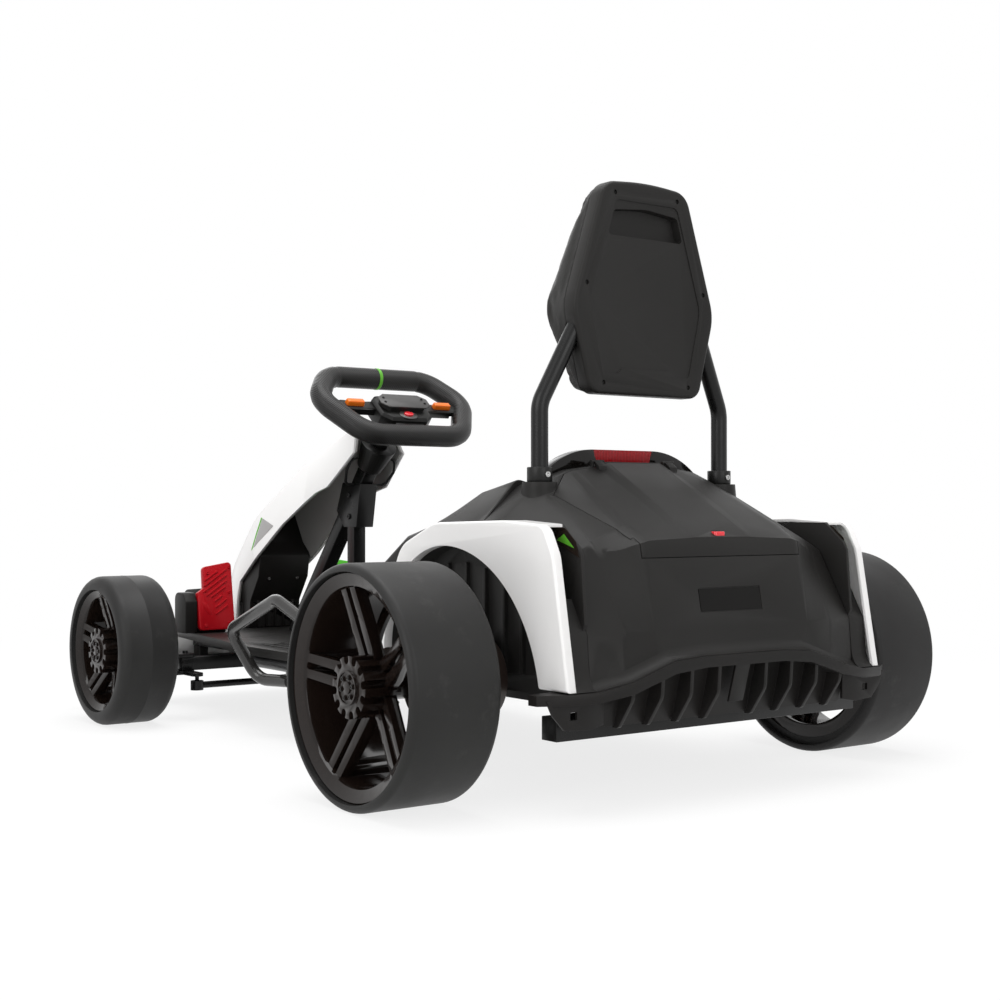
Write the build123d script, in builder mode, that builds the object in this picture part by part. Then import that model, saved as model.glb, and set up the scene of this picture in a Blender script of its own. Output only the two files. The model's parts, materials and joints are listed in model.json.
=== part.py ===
"""Electric drift kart: a child's low ride-on kart with wide slick tyres, a flat steering wheel,
a small backrest on two bent tubes and a moulded rear body with a boot lid.

Millimetres. X points forward, Y to the driver's left, Z up. The origin is on the floor, in the middle
of the kart's length and width.
"""
import os
from math import cos, pi, radians, sin, tan

from build123d import *

os.makedirs("parts", exist_ok=True)

# Driving dimensions
rear_overhang = 188
wheelbase = 776
front_overhang = 236
overall_width = 800
front_track_width = 725
rear_tyre_radius = 130
rear_tyre_width = 110
front_tyre_radius = 109
front_tyre_width = 89

# Axle positions
overall_length = rear_overhang + wheelbase + front_overhang
rear_x = rear_overhang - overall_length / 2
front_x = rear_x + wheelbase
nose_x = overall_length / 2
rear_wheel_y = overall_width / 2 - rear_tyre_width / 2
front_wheel_y = front_track_width / 2 - front_tyre_width / 2
rear_wheel_inner_y = rear_wheel_y - rear_tyre_width / 2
front_wheel_inner_y = front_wheel_y - front_tyre_width / 2
body_half = rear_wheel_inner_y - 87

# Clearances
seat_gap = 0.3
running_gap = 0.5
panel_gap = 0.8

# Frame
rail_size = 16
rail_y = body_half - 93
rail_bottom = 92
rail_top = rail_bottom + rail_size
rail_front_x = nose_x - 50
bar_size = 25
bar_bottom = 75
bar_half_width = body_half + 27
bar_rear_x = rear_x - 140
bar_front_x = bar_rear_x + bar_size
outrigger_size = rail_size
front_outrigger_x = front_x - 292
rear_outrigger_x = rear_x + 262
hanger_thick = 8
hanger_width = 44
rear_shaft_radius = 8
rear_shaft_half = rear_wheel_y + rear_tyre_width / 2 - 18

# Front axle and steering
beam_size = 20
beam_bottom = 72
beam_top = beam_bottom + beam_size
kingpin_y = front_wheel_inner_y - 55
kingpin_radius = 4
beam_half = kingpin_y + beam_size / 2
fork_thick = 5
fork_width = 28
fork_web_y = kingpin_y + 25
stub_radius = 6
stub_end_y = front_wheel_y + 28
knuckle_arm = 42
ball_stud_radius = 3
tie_rod_z = 53
tie_rod_radius = 5
cup_bottom = tie_rod_z - 7
cup_floor = cup_bottom + 3
knuckle_lock = 22
wheel_lock = 45
rod_travel = knuckle_arm * sin(radians(knuckle_lock))
crank_throw = rod_travel / sin(radians(wheel_lock))
crank_pin_radius = 4
tie_rod_x = front_x - knuckle_arm
spindle_x = tie_rod_x + crank_throw
spindle_radius = 6

# Steering column
column_angle = 50
steering_x = front_x - 249
steering_z = 467
column_dir = (cos(radians(column_angle)), 0, -sin(radians(column_angle)))
rim_tube_radius = 15
collar_start = 70
collar_end = 114
collar_top_radius = 28
collar_bottom_radius = 19
collar_socket = 10
column_tube_size = 22
column_wall = 2.5
hub_shaft_radius = 12
post_size = 20
steering_post_x = front_x - 139

# Floor and body
floor_top = 120
floor_thick = floor_top - rail_top
body_bottom = rail_top + seat_gap
body_wall = 3.5
well_thick = 4
fender_inner_y = body_half + well_thick + 2 * seat_gap
fender_outer_y = rear_wheel_inner_y - 50
fender_return = 11
fender_wall = 3.5
lid_half = body_half - 60
lid_rear_x = rear_x - 137
flap_half = lid_half - 21
flap_bottom = 264
lid_front_x = rear_x - 2
lid_front_half = lid_half - 35
lid_slope_x = rear_x - 27
hinge_x = rear_x + 0.8
hinge_z = 371.8
barrel_radius = 2.2
hinge_pin_radius = 1
barrel_inner_y = 50
barrel_length = 12
ear_thick = 3.2

# Seat and backrest
post_radius = 10
post_y = body_half - 60.5
post_bend_z = 437
post_top_z = 545
collar_top_z = 364
collar_height = 17
post_collar_radius = 13
backrest_rear_x = rear_x - 24
backrest_split_x = rear_x - 5
backrest_bottom = 450
backrest_top = 702
bucket_half = body_half - 77
bucket_thick = 5


def at_column(distance):
    """A point on the steering axis, that far down the column from the middle of the wheel."""
    return (steering_x + column_dir[0] * distance, 0, steering_z + column_dir[2] * distance)


def keep(piece, name):
    """Label a finished piece and write it to its own file."""
    piece.part.label = name
    export_step(piece.part, f"parts/{name}.step")


# Wheels
# Each wheel is built about the Y axis with its outer face towards +Y, then put on its axle.
inner_recess = 9


def build_tyre(radius, width, shoulder, flange_radius, bead_radius, recess):
    """Slick tyre: a closed ring with round shoulders and a rebate for the rim's outer flange."""
    with BuildPart() as tyre:
        with BuildSketch(Plane.XY) as profile:
            with Locations(((bead_radius + radius) / 2, 0)):
                Rectangle(radius - bead_radius, width)
            fillet(profile.vertices().sort_by(Axis.X)[-2:], shoulder)
            with Locations(((bead_radius + flange_radius) / 2, (width - recess) / 2)):
                Rectangle(flange_radius - bead_radius, recess, mode=Mode.SUBTRACT)
            with Locations(((bead_radius + flange_radius) / 2, -(width - inner_recess) / 2)):
                Rectangle(flange_radius - bead_radius, inner_recess, mode=Mode.SUBTRACT)
        revolve(axis=Axis.Y)
    return tyre


def build_rim(width, flange_radius, bead_radius, recess, opening_radius, ring_radius,
              root_depth, rim_depth, boss_start, bore_radius):
    """Five twin-spoke rim with a lobed hub. Depths are measured in from the tyre's outer face."""
    half = width / 2
    flange_face = half - 6
    barrel_inner = -half + inner_recess + 0.2
    spoke_thick = 14
    lobe_tip = 33
    lobes = 12
    lobe_gap = 8.5
    hub_face = half - 5
    cap_radius = 18.5
    with BuildPart() as spokes:
        with BuildSketch(Plane.XY):
            with BuildLine():
                Polyline(
                    (lobe_tip - 15, half - root_depth),
                    (opening_radius + 3, half - rim_depth),
                    (opening_radius + 3, half - rim_depth - spoke_thick),
                    (lobe_tip - 15, half - root_depth - spoke_thick),
                    close=True,
                )
            make_face()
        revolve(axis=Axis.Y)
        with BuildSketch(Plane.XZ) as arms:
            with PolarLocations(0, 5, start_angle=90):
                with BuildLine(mode=Mode.PRIVATE) as arm:
                    Polyline(
                        (lobe_tip - 17, 3),
                        (opening_radius + 4, 4),
                        (opening_radius + 4, 13.5),
                        (lobe_tip - 17, 15),
                        close=True,
                    )
                with BuildSketch(mode=Mode.PRIVATE) as one_arm:
                    add(arm.line)
                    make_face()
                    mirror(about=Plane.XZ)
                add(one_arm.sketch)
            Circle(lobe_tip - 3)
        extrude(amount=width, both=True, mode=Mode.INTERSECT)
    with BuildPart() as hub:
        with BuildSketch(Plane.XZ.offset(-hub_face)):
            Circle(lobe_tip)
            with PolarLocations(lobe_tip, lobes):
                SlotOverall(2 * lobe_gap, lobe_gap, mode=Mode.SUBTRACT)
        extrude(amount=hub_face - (half - root_depth - spoke_thick - 1))
        with BuildSketch(Plane.XZ.offset(-hub_face)):
            Circle(cap_radius)
        extrude(amount=-3)
        with BuildSketch(Plane.XZ.offset(-hub_face - 3)) as cap_sink:
            Circle(cap_radius - 2)
            Circle(cap_radius - 12, mode=Mode.SUBTRACT)
            with PolarLocations(cap_radius - 7, 6):
                Circle(3, mode=Mode.SUBTRACT)
        extrude(cap_sink.sketch, amount=1.6, mode=Mode.SUBTRACT)
        with BuildSketch(Plane.XZ.offset(-(half - root_depth))) as boss:
            Circle(bore_radius + 8)
        extrude(boss.sketch, amount=half - root_depth - boss_start)
    with BuildPart() as rim:
        with BuildSketch(Plane.XY):
            with BuildLine():
                Polyline(
                    (opening_radius, flange_face - 10),
                    (opening_radius + 2, flange_face - 5),
                    (opening_radius + (flange_radius - opening_radius) * 0.75, flange_face - 1),
                    (flange_radius - seat_gap - 1.5, flange_face),
                    (flange_radius - seat_gap, flange_face - 1),
                    (flange_radius - seat_gap, half - recess + seat_gap),
                    (bead_radius - seat_gap, half - recess + seat_gap),
                    (bead_radius - seat_gap, barrel_inner),
                    (ring_radius, barrel_inner),
                    (ring_radius, barrel_inner + 5),
                    (opening_radius, barrel_inner + 5),
                    close=True,
                )
            make_face()
        revolve(axis=Axis.Y)
        add(spokes.part)
        add(hub.part)
        with BuildSketch(Plane.XZ.offset(-(half - 14))):
            Circle(bore_radius)
        extrude(amount=width, mode=Mode.SUBTRACT)
    return rim


def place_wheel(piece, x, y, z, side):
    """Put a wheel piece on its axle, mirrored for the right-hand side."""
    with BuildPart() as placed:
        add(piece.part.moved(Location((x, y, z))))
        if side < 0:
            mirror(about=Plane.XZ, mode=Mode.REPLACE)
    return placed


rear_flange = rear_tyre_radius - 9
rear_bead = rear_tyre_radius - 18
rear_recess = 15
front_flange = front_tyre_radius - 20
front_bead = front_tyre_radius - 27
front_recess = 15
gearbox_outer_y = rear_wheel_inner_y + 10
rear_tyre = build_tyre(rear_tyre_radius, rear_tyre_width, 8, rear_flange, rear_bead, rear_recess)
rear_rim = build_rim(rear_tyre_width, rear_flange, rear_bead, rear_recess, rear_bead - 8, rear_bead - 17,
                     34, 14, gearbox_outer_y + 3 - rear_wheel_y, rear_shaft_radius + seat_gap)
front_tyre = build_tyre(front_tyre_radius, front_tyre_width, 15, front_flange, front_bead, front_recess)
front_rim = build_rim(front_tyre_width, front_flange, front_bead, front_recess, front_bead - 6,
                      front_bead - 14, 30, 12, -front_tyre_width / 2 + 12, stub_radius + seat_gap)
for side_name, side in (("left", 1), ("right", -1)):
    keep(place_wheel(rear_tyre, rear_x, rear_wheel_y, rear_tyre_radius, side), f"tyre_rear_{side_name}")
    keep(place_wheel(rear_rim, rear_x, rear_wheel_y, rear_tyre_radius, side), f"rim_rear_{side_name}")
    keep(place_wheel(front_tyre, front_x, front_wheel_y, front_tyre_radius, side),
         f"tyre_front_{side_name}")
    keep(place_wheel(front_rim, front_x, front_wheel_y, front_tyre_radius, side),
         f"rim_front_{side_name}")


# Frame: two rails on a rear cross bar, outriggers for the side bars and hangers for the rear shaft
with BuildPart() as main_frame:
    with BuildSketch(Plane.XY.offset(rail_bottom)):
        for side in (1, -1):
            with Locations(((bar_front_x + rail_front_x) / 2, side * rail_y)):
                Rectangle(rail_front_x - bar_front_x, rail_size)
        with Locations(((front_outrigger_x + rear_outrigger_x) / 2, 0)):
            Rectangle(outrigger_size, 2 * rail_y)
    extrude(amount=rail_size)
    with BuildSketch(Plane.XY.offset(bar_bottom)):
        with Locations(((bar_rear_x + bar_front_x) / 2, 0)):
            Rectangle(bar_size, 2 * bar_half_width)
    extrude(amount=bar_size)
    with BuildSketch(Plane.XY.offset(rail_bottom)):
        for x in (front_outrigger_x, rear_outrigger_x):
            with Locations((x, 0)):
                Rectangle(outrigger_size, 2 * (body_half - 24))
    extrude(amount=outrigger_size)
    with BuildSketch(Plane.XZ.offset(-rail_y - hanger_thick / 2)) as hanger:
        with BuildLine():
            Polyline(
                (rear_x - hanger_width / 2, rail_top - 2),
                (rear_x - hanger_width / 2, rail_top + 6),
                (rear_x - 14, rear_tyre_radius + 14),
                (rear_x + 14, rear_tyre_radius + 14),
                (rear_x + hanger_width / 2, rail_top + 6),
                (rear_x + hanger_width / 2, rail_top - 2),
                close=True,
            )
        make_face()
        with Locations((rear_x, rear_tyre_radius)):
            Circle(rear_shaft_radius + 0.1, mode=Mode.SUBTRACT)
    extrude(amount=hanger_thick)
    extrude(hanger.sketch.moved(Location((0, -2 * rail_y, 0))), amount=hanger_thick)
keep(main_frame, "main_frame")

with BuildPart() as front_axle_beam:
    with BuildSketch(Plane.XY.offset(beam_bottom)):
        with Locations((front_x, 0)):
            Rectangle(beam_size, 2 * beam_half)
        for side in (1, -1):
            with Locations((front_x, side * kingpin_y)):
                Circle(kingpin_radius + seat_gap, mode=Mode.SUBTRACT)
    extrude(amount=beam_size)
keep(front_axle_beam, "front_axle_beam")

with BuildPart() as rear_axle:
    with BuildSketch(Plane.XZ.offset(-rear_shaft_half)):
        with Locations((rear_x, rear_tyre_radius)):
            Circle(rear_shaft_radius)
    extrude(amount=2 * rear_shaft_half)
keep(rear_axle, "rear_axle")

# Drive gearboxes: a flat round case on the shaft with a motor can in the wheel's mouth
gearbox_inner_y = fender_outer_y - 18
gearbox_radius = 46
motor_radius = 20
motor_offset = (34, 16)
with BuildPart() as gearboxes:
    with BuildSketch(Plane.XZ.offset(-gearbox_inner_y)) as case:
        with Locations((rear_x, rear_tyre_radius)):
            Circle(gearbox_radius)
        with Locations((rear_x + motor_offset[0], rear_tyre_radius + motor_offset[1])):
            Circle(motor_radius + 6)
        with Locations((rear_x, rear_tyre_radius)):
            Circle(rear_shaft_radius + seat_gap, mode=Mode.SUBTRACT)
    extrude(amount=-(gearbox_outer_y - gearbox_inner_y))
    with BuildSketch(Plane.XZ.offset(-gearbox_outer_y)):
        with Locations((rear_x + motor_offset[0], rear_tyre_radius + motor_offset[1])):
            Circle(motor_radius)
    extrude(amount=-26)
    mirror(about=Plane.XZ)
keep(gearboxes, "gearboxes")


# Steering: knuckles on kingpins, the tie rod, the crank spindle and the wheel on its column
def build_knuckle():
    """Left knuckle: a fork round the beam's end, its kingpin, the stub axle and the steering arm."""
    fork_top = beam_top + running_gap
    fork_low = beam_bottom - running_gap
    arm_z = fork_low - fork_thick
    with BuildPart() as knuckle:
        with BuildSketch(Plane.XY.offset(fork_top)):
            with Locations((front_x, (kingpin_y + fork_web_y) / 2)):
                Rectangle(fork_width, fork_web_y - kingpin_y)
            with Locations((front_x, kingpin_y)):
                Circle(fork_width / 2)
        extrude(amount=fork_thick)
        with BuildSketch(Plane.XY.offset(arm_z)):
            with Locations((front_x, (kingpin_y + fork_web_y) / 2)):
                Rectangle(fork_width, fork_web_y - kingpin_y)
            with Locations((front_x, kingpin_y)):
                Circle(fork_width / 2)
            with Locations((front_x - knuckle_arm / 2, kingpin_y)):
                SlotOverall(knuckle_arm + 18, 18)
        extrude(amount=fork_thick)
        with BuildSketch(Plane.XZ.offset(-fork_web_y)):
            with Locations((front_x, (arm_z + front_tyre_radius) / 2)):
                Rectangle(fork_width, front_tyre_radius - arm_z)
            with Locations((front_x, front_tyre_radius)):
                Circle(fork_width / 2)
        extrude(amount=-fork_thick)
        with BuildSketch(Plane.XZ.offset(-fork_web_y)):
            with Locations((front_x, front_tyre_radius)):
                Circle(stub_radius)
        extrude(amount=-(stub_end_y - fork_web_y))
        with BuildSketch(Plane.XY.offset(arm_z)):
            with Locations((front_x, kingpin_y)):
                Circle(kingpin_radius)
        extrude(amount=fork_top + fork_thick + 4 - arm_z)
        with BuildSketch(Plane.XY.offset(arm_z)):
            with Locations((tie_rod_x, kingpin_y)):
                Circle(ball_stud_radius)
        extrude(amount=-(arm_z - cup_floor - seat_gap))
    return knuckle


left_knuckle = build_knuckle()
keep(left_knuckle, "knuckle_left")
with BuildPart() as right_knuckle:
    add(left_knuckle.part)
    mirror(about=Plane.XZ, mode=Mode.REPLACE)
keep(right_knuckle, "knuckle_right")

# Tie rod: a straight rod with a cup at each end and a slotted plate in the middle for the crank pin.
# The slot lets the crank swing and the cups let the arms swing, so the linkage is open there.
cup_inner = ball_stud_radius + knuckle_arm * (1 - cos(radians(knuckle_lock))) + running_gap
cup_outer = cup_inner + 3
cup_top = tie_rod_z + 7
slot_front = crank_throw * (1 - cos(radians(wheel_lock))) + crank_pin_radius + 1
slot_half = crank_pin_radius + 0.9
plate_thick = 5
with BuildPart() as tie_rod:
    with BuildSketch(Plane.XZ.offset(-(kingpin_y - cup_inner - 1.5))):
        with Locations((tie_rod_x, tie_rod_z)):
            Circle(tie_rod_radius)
    extrude(amount=2 * (kingpin_y - cup_inner - 1.5))
    with BuildSketch(Plane.XY.offset(cup_bottom)):
        for side in (1, -1):
            with Locations((tie_rod_x, side * kingpin_y)):
                Circle(cup_outer)
    extrude(amount=cup_top - cup_bottom)
    with BuildSketch(Plane.XY.offset(cup_floor)):
        for side in (1, -1):
            with Locations((tie_rod_x, side * kingpin_y)):
                Circle(cup_inner)
    extrude(amount=cup_top - cup_bottom, mode=Mode.SUBTRACT)
    with BuildSketch(Plane.XY.offset(tie_rod_z - plate_thick / 2)):
        with Locations((tie_rod_x + (slot_front - 6) / 2, 0)):
            Rectangle(slot_front + 6 + 14, 2 * slot_half + 14)
    extrude(amount=plate_thick)
    with BuildSketch(Plane.XY.offset(tie_rod_z - 2 * tie_rod_radius)):
        with Locations((tie_rod_x + (slot_front - 6) / 2, 0)):
            Rectangle(slot_front + 6, 2 * slot_half)
    extrude(amount=4 * tie_rod_radius, mode=Mode.SUBTRACT)
keep(tie_rod, "tie_rod")

# Crank spindle: an upright rod through the floor with a crank and pin behind it
spindle_front_x = spindle_x + spindle_radius
spindle_top = (steering_z - (spindle_front_x - steering_x) * tan(radians(column_angle))
               - column_tube_size / 2 / cos(radians(column_angle)) - running_gap)
crank_z = tie_rod_z + plate_thick / 2 + tie_rod_radius + 2
with BuildPart() as steering_spindle:
    with BuildSketch(Plane.XY.offset(crank_z)):
        with Locations((spindle_x, 0)):
            Circle(spindle_radius)
    extrude(amount=spindle_top - crank_z)
    with BuildSketch(Plane.XY.offset(crank_z)):
        with Locations((spindle_x - crank_throw / 2, 0)):
            SlotOverall(crank_throw + 14, 14)
    extrude(amount=5)
    with BuildSketch(Plane.XY.offset(crank_z)):
        with Locations((tie_rod_x, 0)):
            Circle(crank_pin_radius)
    extrude(amount=-(crank_z - tie_rod_z + 6))
keep(steering_spindle, "steering_spindle")

# Steering wheel: local x runs to the driver's right, local y up the wheel, local z at the driver
wheel_plane = Plane(
    origin=at_column(0), x_dir=(0, -1, 0), z_dir=(-column_dir[0], 0, -column_dir[2])
)
wheel_axis = Axis(at_column(0), (-column_dir[0], 0, -column_dir[2]))
# Half outline of the rim's middle line: across, up
rim_corners = [(84, 68), (122, 12), (78, -67)]


with BuildPart() as steering_rim:
    with BuildLine(wheel_plane) as rim_path:
        left_half = [(-x, y) for x, y in reversed(rim_corners)]
        FilletPolyline(*rim_corners, *left_half, radius=36, close=True)
    with BuildSketch(Plane(origin=rim_path.line @ 0, z_dir=rim_path.line % 0)):
        Circle(rim_tube_radius)
    sweep()
keep(steering_rim, "steering_rim")

spoke_top = 0
spoke_low = -17


def spoke_tip(height):
    """How far out a side spoke reaches at a height up the wheel, to lie against the rim's tube."""
    wide, low = rim_corners[1], rim_corners[2]
    lean = (wide[0] - low[0]) / (wide[1] - low[1])
    return wide[0] - (wide[1] - height) * lean - (rim_tube_radius + seat_gap) * (1 + lean ** 2) ** 0.5


with BuildPart() as steering_hub:
    with BuildSketch(wheel_plane.offset(-14)):
        with BuildLine():
            Polyline((-44, -34), (-30, -46), (30, -46), (44, -34), (44, 2), (34, 12), (-34, 12),
                     (-44, 2), close=True)
        make_face()
    extrude(amount=26)
    chamfer(steering_hub.faces().sort_by(wheel_axis)[-1].edges(), 4)
    with BuildSketch(wheel_plane.offset(-5)):
        with BuildLine():
            Polyline((spoke_tip(spoke_top), spoke_top), (spoke_tip(spoke_low), spoke_low),
                     (-spoke_tip(spoke_low), spoke_low), (-spoke_tip(spoke_top), spoke_top), close=True)
        make_face()
        with BuildLine():
            lowest = rim_corners[2][1] + rim_tube_radius + seat_gap
            Polyline((24, lowest), (24, spoke_low), (-24, spoke_low), (-24, lowest), close=True)
        make_face()
    extrude(amount=10)
    with BuildSketch(wheel_plane.offset(12)):
        with BuildLine():
            Polyline((27, 2), (36, -5), (36, -20), (28, -29), (-28, -29), (-36, -20), (-36, -5),
                     (-27, 2), close=True)
        make_face()
    extrude(amount=7)
    with BuildSketch(wheel_plane.offset(-13)):
        Circle(hub_shaft_radius)
    extrude(amount=-(1 + collar_start + collar_socket - seat_gap - 14))
keep(steering_hub, "steering_hub")

with BuildPart() as steering_buttons:
    with BuildSketch(wheel_plane.offset(5 + seat_gap)):
        with Locations((75, -6), (-75, -6)):
            RectangleRounded(30, 11, 3)
    extrude(amount=8, taper=10)
keep(steering_buttons, "steering_buttons")

with BuildPart() as start_button:
    with BuildSketch(wheel_plane.offset(12 + seat_gap)):
        with Locations((0, -36)):
            Ellipse(8, 5)
    extrude(amount=3, taper=10)
keep(start_button, "start_button")

column_axis_plane = Plane(
    origin=at_column(collar_start), x_dir=(0, 1, 0), z_dir=column_dir
)
with BuildPart() as column_collar:
    with BuildSketch(column_axis_plane) as collar_mouth:
        Circle(collar_top_radius)
    with BuildSketch(column_axis_plane.offset(collar_end - collar_start)) as collar_foot:
        Circle(collar_bottom_radius)
    loft([collar_mouth.sketch, collar_foot.sketch], ruled=True)
    with BuildSketch(column_axis_plane) as socket:
        Circle(hub_shaft_radius + seat_gap)
    extrude(socket.sketch, amount=collar_socket, mode=Mode.SUBTRACT)
keep(column_collar, "column_collar")

column_foot = (steering_z - floor_top) / sin(radians(column_angle))
with BuildPart() as column_tube:
    with BuildSketch(column_axis_plane.offset(collar_end - collar_start)):
        Rectangle(column_tube_size, column_tube_size)
    extrude(amount=column_foot + 40 - collar_end)
    with BuildSketch(Plane.XY.offset(floor_top)):
        with Locations((steering_x, 0)):
            Rectangle(4 * overall_length, overall_width)
    extrude(amount=-200, mode=Mode.SUBTRACT)
keep(column_tube, "column_tube")

# Sleeve that ties the upright post to the sloping column, and the post itself
with BuildPart() as steering_post:
    with BuildSketch(Plane.XY.offset(floor_top)):
        with Locations((steering_post_x, 0)):
            Rectangle(post_size, post_size)
            Rectangle(post_size - 2 * column_wall, post_size - 2 * column_wall, mode=Mode.SUBTRACT)
    extrude(amount=292 - floor_top)
    with BuildSketch(Plane.XZ):
        with BuildLine():
            Polyline(
                (steering_post_x - 36, 354),
                (steering_post_x - 24, 289),
                (steering_post_x + 12, 289),
                (steering_post_x + 34, 314),
                (steering_post_x + 16, 357),
                close=True,
            )
        make_face()
    extrude(amount=column_tube_size / 2 + 4, both=True)
    with BuildSketch(column_axis_plane.offset(collar_end - collar_start)):
        Rectangle(column_tube_size + seat_gap, column_tube_size + seat_gap)
    extrude(amount=column_foot + 40 - collar_end, mode=Mode.SUBTRACT)
keep(steering_post, "steering_post")


def build_cable(points, radii, name):
    """A thin lead between the collar and the sleeve: straight runs joined by round bends."""
    with BuildPart() as cable:
        with BuildLine() as route:
            FilletPolyline(*points, radius=radii)
        with BuildSketch(Plane(origin=route.line @ 0, z_dir=route.line % 0)):
            Circle(cable_radius)
        sweep()
    length = sum(edge.length for edge in route.edges())
    section = pi * cable_radius ** 2
    print(name, "bend radii", radii, "volume ratio", round(cable.part.volume / (section * length), 4))
    keep(cable, name)


cable_radius = 2
collar_mid = at_column((collar_start + collar_end) / 2)
build_cable(
    [
        (collar_mid[0] + 4, 24.5, collar_mid[2] - 3),
        (collar_mid[0] + 6, 36, collar_mid[2] - 6),
        (collar_mid[0] + 16, 38, collar_mid[2] - 22),
        (collar_mid[0] + 30, 32, collar_mid[2] - 42),
        (collar_mid[0] + 31, column_tube_size / 2 + 4 + seat_gap, collar_mid[2] - 43),
    ],
    [9, 10, 9], "cable_left",
)
build_cable(
    [
        (collar_mid[0] - 2, -24.5, collar_mid[2] - 3),
        (collar_mid[0] - 2, -36, collar_mid[2] - 7),
        (collar_mid[0] + 6, -39, collar_mid[2] - 24),
        (collar_mid[0] + 22, -33, collar_mid[2] - 43),
        (collar_mid[0] + 24, -column_tube_size / 2 - 4 - seat_gap, collar_mid[2] - 44),
    ],
    [9, 10, 9], "cable_right",
)

# Nose cowl section: half widths at its crest and at its full depth
cowl_wall = 3
cowl_liner_wall = 2.5
cowl_depth = 110
cowl_top_half = 33
cowl_low_half = 66
bumper_bottom = 74
bumper_top = 112

# Floor pan: a flat tray on the rails, with foot grooves, open where the spindle drops through
pan_rear_x = rear_x + 352
pan_front_x = nose_x - 62
pan_notch_x = nose_x - 87
pan_outline = [
    # x, half width
    (pan_rear_x, body_half + 2),
    (front_x - 136, body_half + 2),
    (front_x - 56, body_half - 17),
    (pan_front_x, body_half - 51),
]
groove_length = 0.66 * (steering_post_x - pan_rear_x)
groove_x = pan_rear_x + 0.59 * (steering_post_x - pan_rear_x)
with BuildPart() as floor_pan:
    with BuildSketch(Plane.XY.offset(rail_top)):
        with BuildLine():
            right_edge = [(x, -y) for x, y in reversed(pan_outline)]
            Polyline(*pan_outline, *right_edge, close=True)
        make_face()
    extrude(amount=floor_thick)
    with BuildSketch(Plane.XY.offset(floor_top)):
        for side in (1, -1):
            with Locations((groove_x, side * (rail_y + 8))):
                with GridLocations(0, 16, 1, 8):
                    SlotOverall(groove_length, 6)
    extrude(amount=-2, mode=Mode.SUBTRACT)
    with BuildSketch(Plane.XY.offset(rail_top)):
        with Locations((spindle_x, 0)):
            Circle(spindle_radius + 1.5)
        with Locations((pan_notch_x + 50, 0)):
            Rectangle(100, 2 * cowl_low_half + 6)
    extrude(amount=floor_thick, mode=Mode.SUBTRACT)
keep(floor_pan, "floor_pan")

# Side bars: bent guard tubes outside the feet, and the straight sill tubes they are fixed to
sill_radius = 9
sill_y = body_half - 15
sill_z = rail_top - sill_radius - running_gap
bar_radius = 8.5
# Guard tube route: share of the way from the rear outrigger to the front one, y past the body, z
guard_route = [
    (1, -3, 80),
    (1.288, 11, 78),
    (1.351, 47, 148),
    (0.73, 49, 197),
    (0.288, 41, 160),
    (0, -3, 80),
]
guard_length = front_outrigger_x - rear_outrigger_x
with BuildPart() as side_bars:
    with BuildLine() as guard:
        guard_points = [(rear_outrigger_x + share * guard_length, body_half + y, z)
                        for share, y, z in guard_route]
        FilletPolyline(*guard_points, radius=[26, 20, 26, 40])
    with BuildSketch(Plane(origin=guard.line @ 0, z_dir=guard.line % 0)):
        Circle(bar_radius)
    sweep()
    with BuildSketch(Plane.XY.offset(sill_z - sill_radius - 5)):
        for x in (front_outrigger_x, rear_outrigger_x):
            with Locations((x, sill_y + 4)):
                Rectangle(18, 34)
    extrude(amount=5 - seat_gap)
    mirror(about=Plane.XZ)
keep(side_bars, "side_bars")

with BuildPart() as sill_tubes:
    with BuildSketch(Plane.YZ.offset(rear_outrigger_x - 12)):
        with Locations((sill_y, sill_z)):
            Circle(sill_radius)
    extrude(amount=front_x - 152 - rear_outrigger_x)
    mirror(about=Plane.XZ)
keep(sill_tubes, "sill_tubes")


# Rear body: what two lofts have in common, one stacked in height and one laid out along the length
plan_sections = [
    # z, rear edge at the middle, its inset from the side, corner x, corner inset, side x, side radius
    (body_bottom, -172, 93, -169, 43, -163, 1.5),
    (186, -168, 85, -166, 43, -157, 1.5),
    (284, -149, 81, -117, 30, -102, 12),
    (400, -149, 81, -117, 30, -102, 12),
]
length_sections = [
    # x from the rear axle, top z, hump drop, crown inset, crown z, shoulder inset, shoulder z, outer z
    (-200, 262, 0.8, 85, 258, 50, 222, 170),
    (-149, 285, 0.8, 81, 282, 42, 250, 205),
    (-118, 303, 1.2, 86, 299, 38, 281, 262),
    (-60, 337.5, 3, 96, 330, 47, 312, 280),
    (0, 372, 5, 107, 362, 53, 342, 298),
    (30, 372, 5, 107, 362, 53, 344, 298),
]
body_front = 30
hump_half = 42
hump_slope = 14


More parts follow.
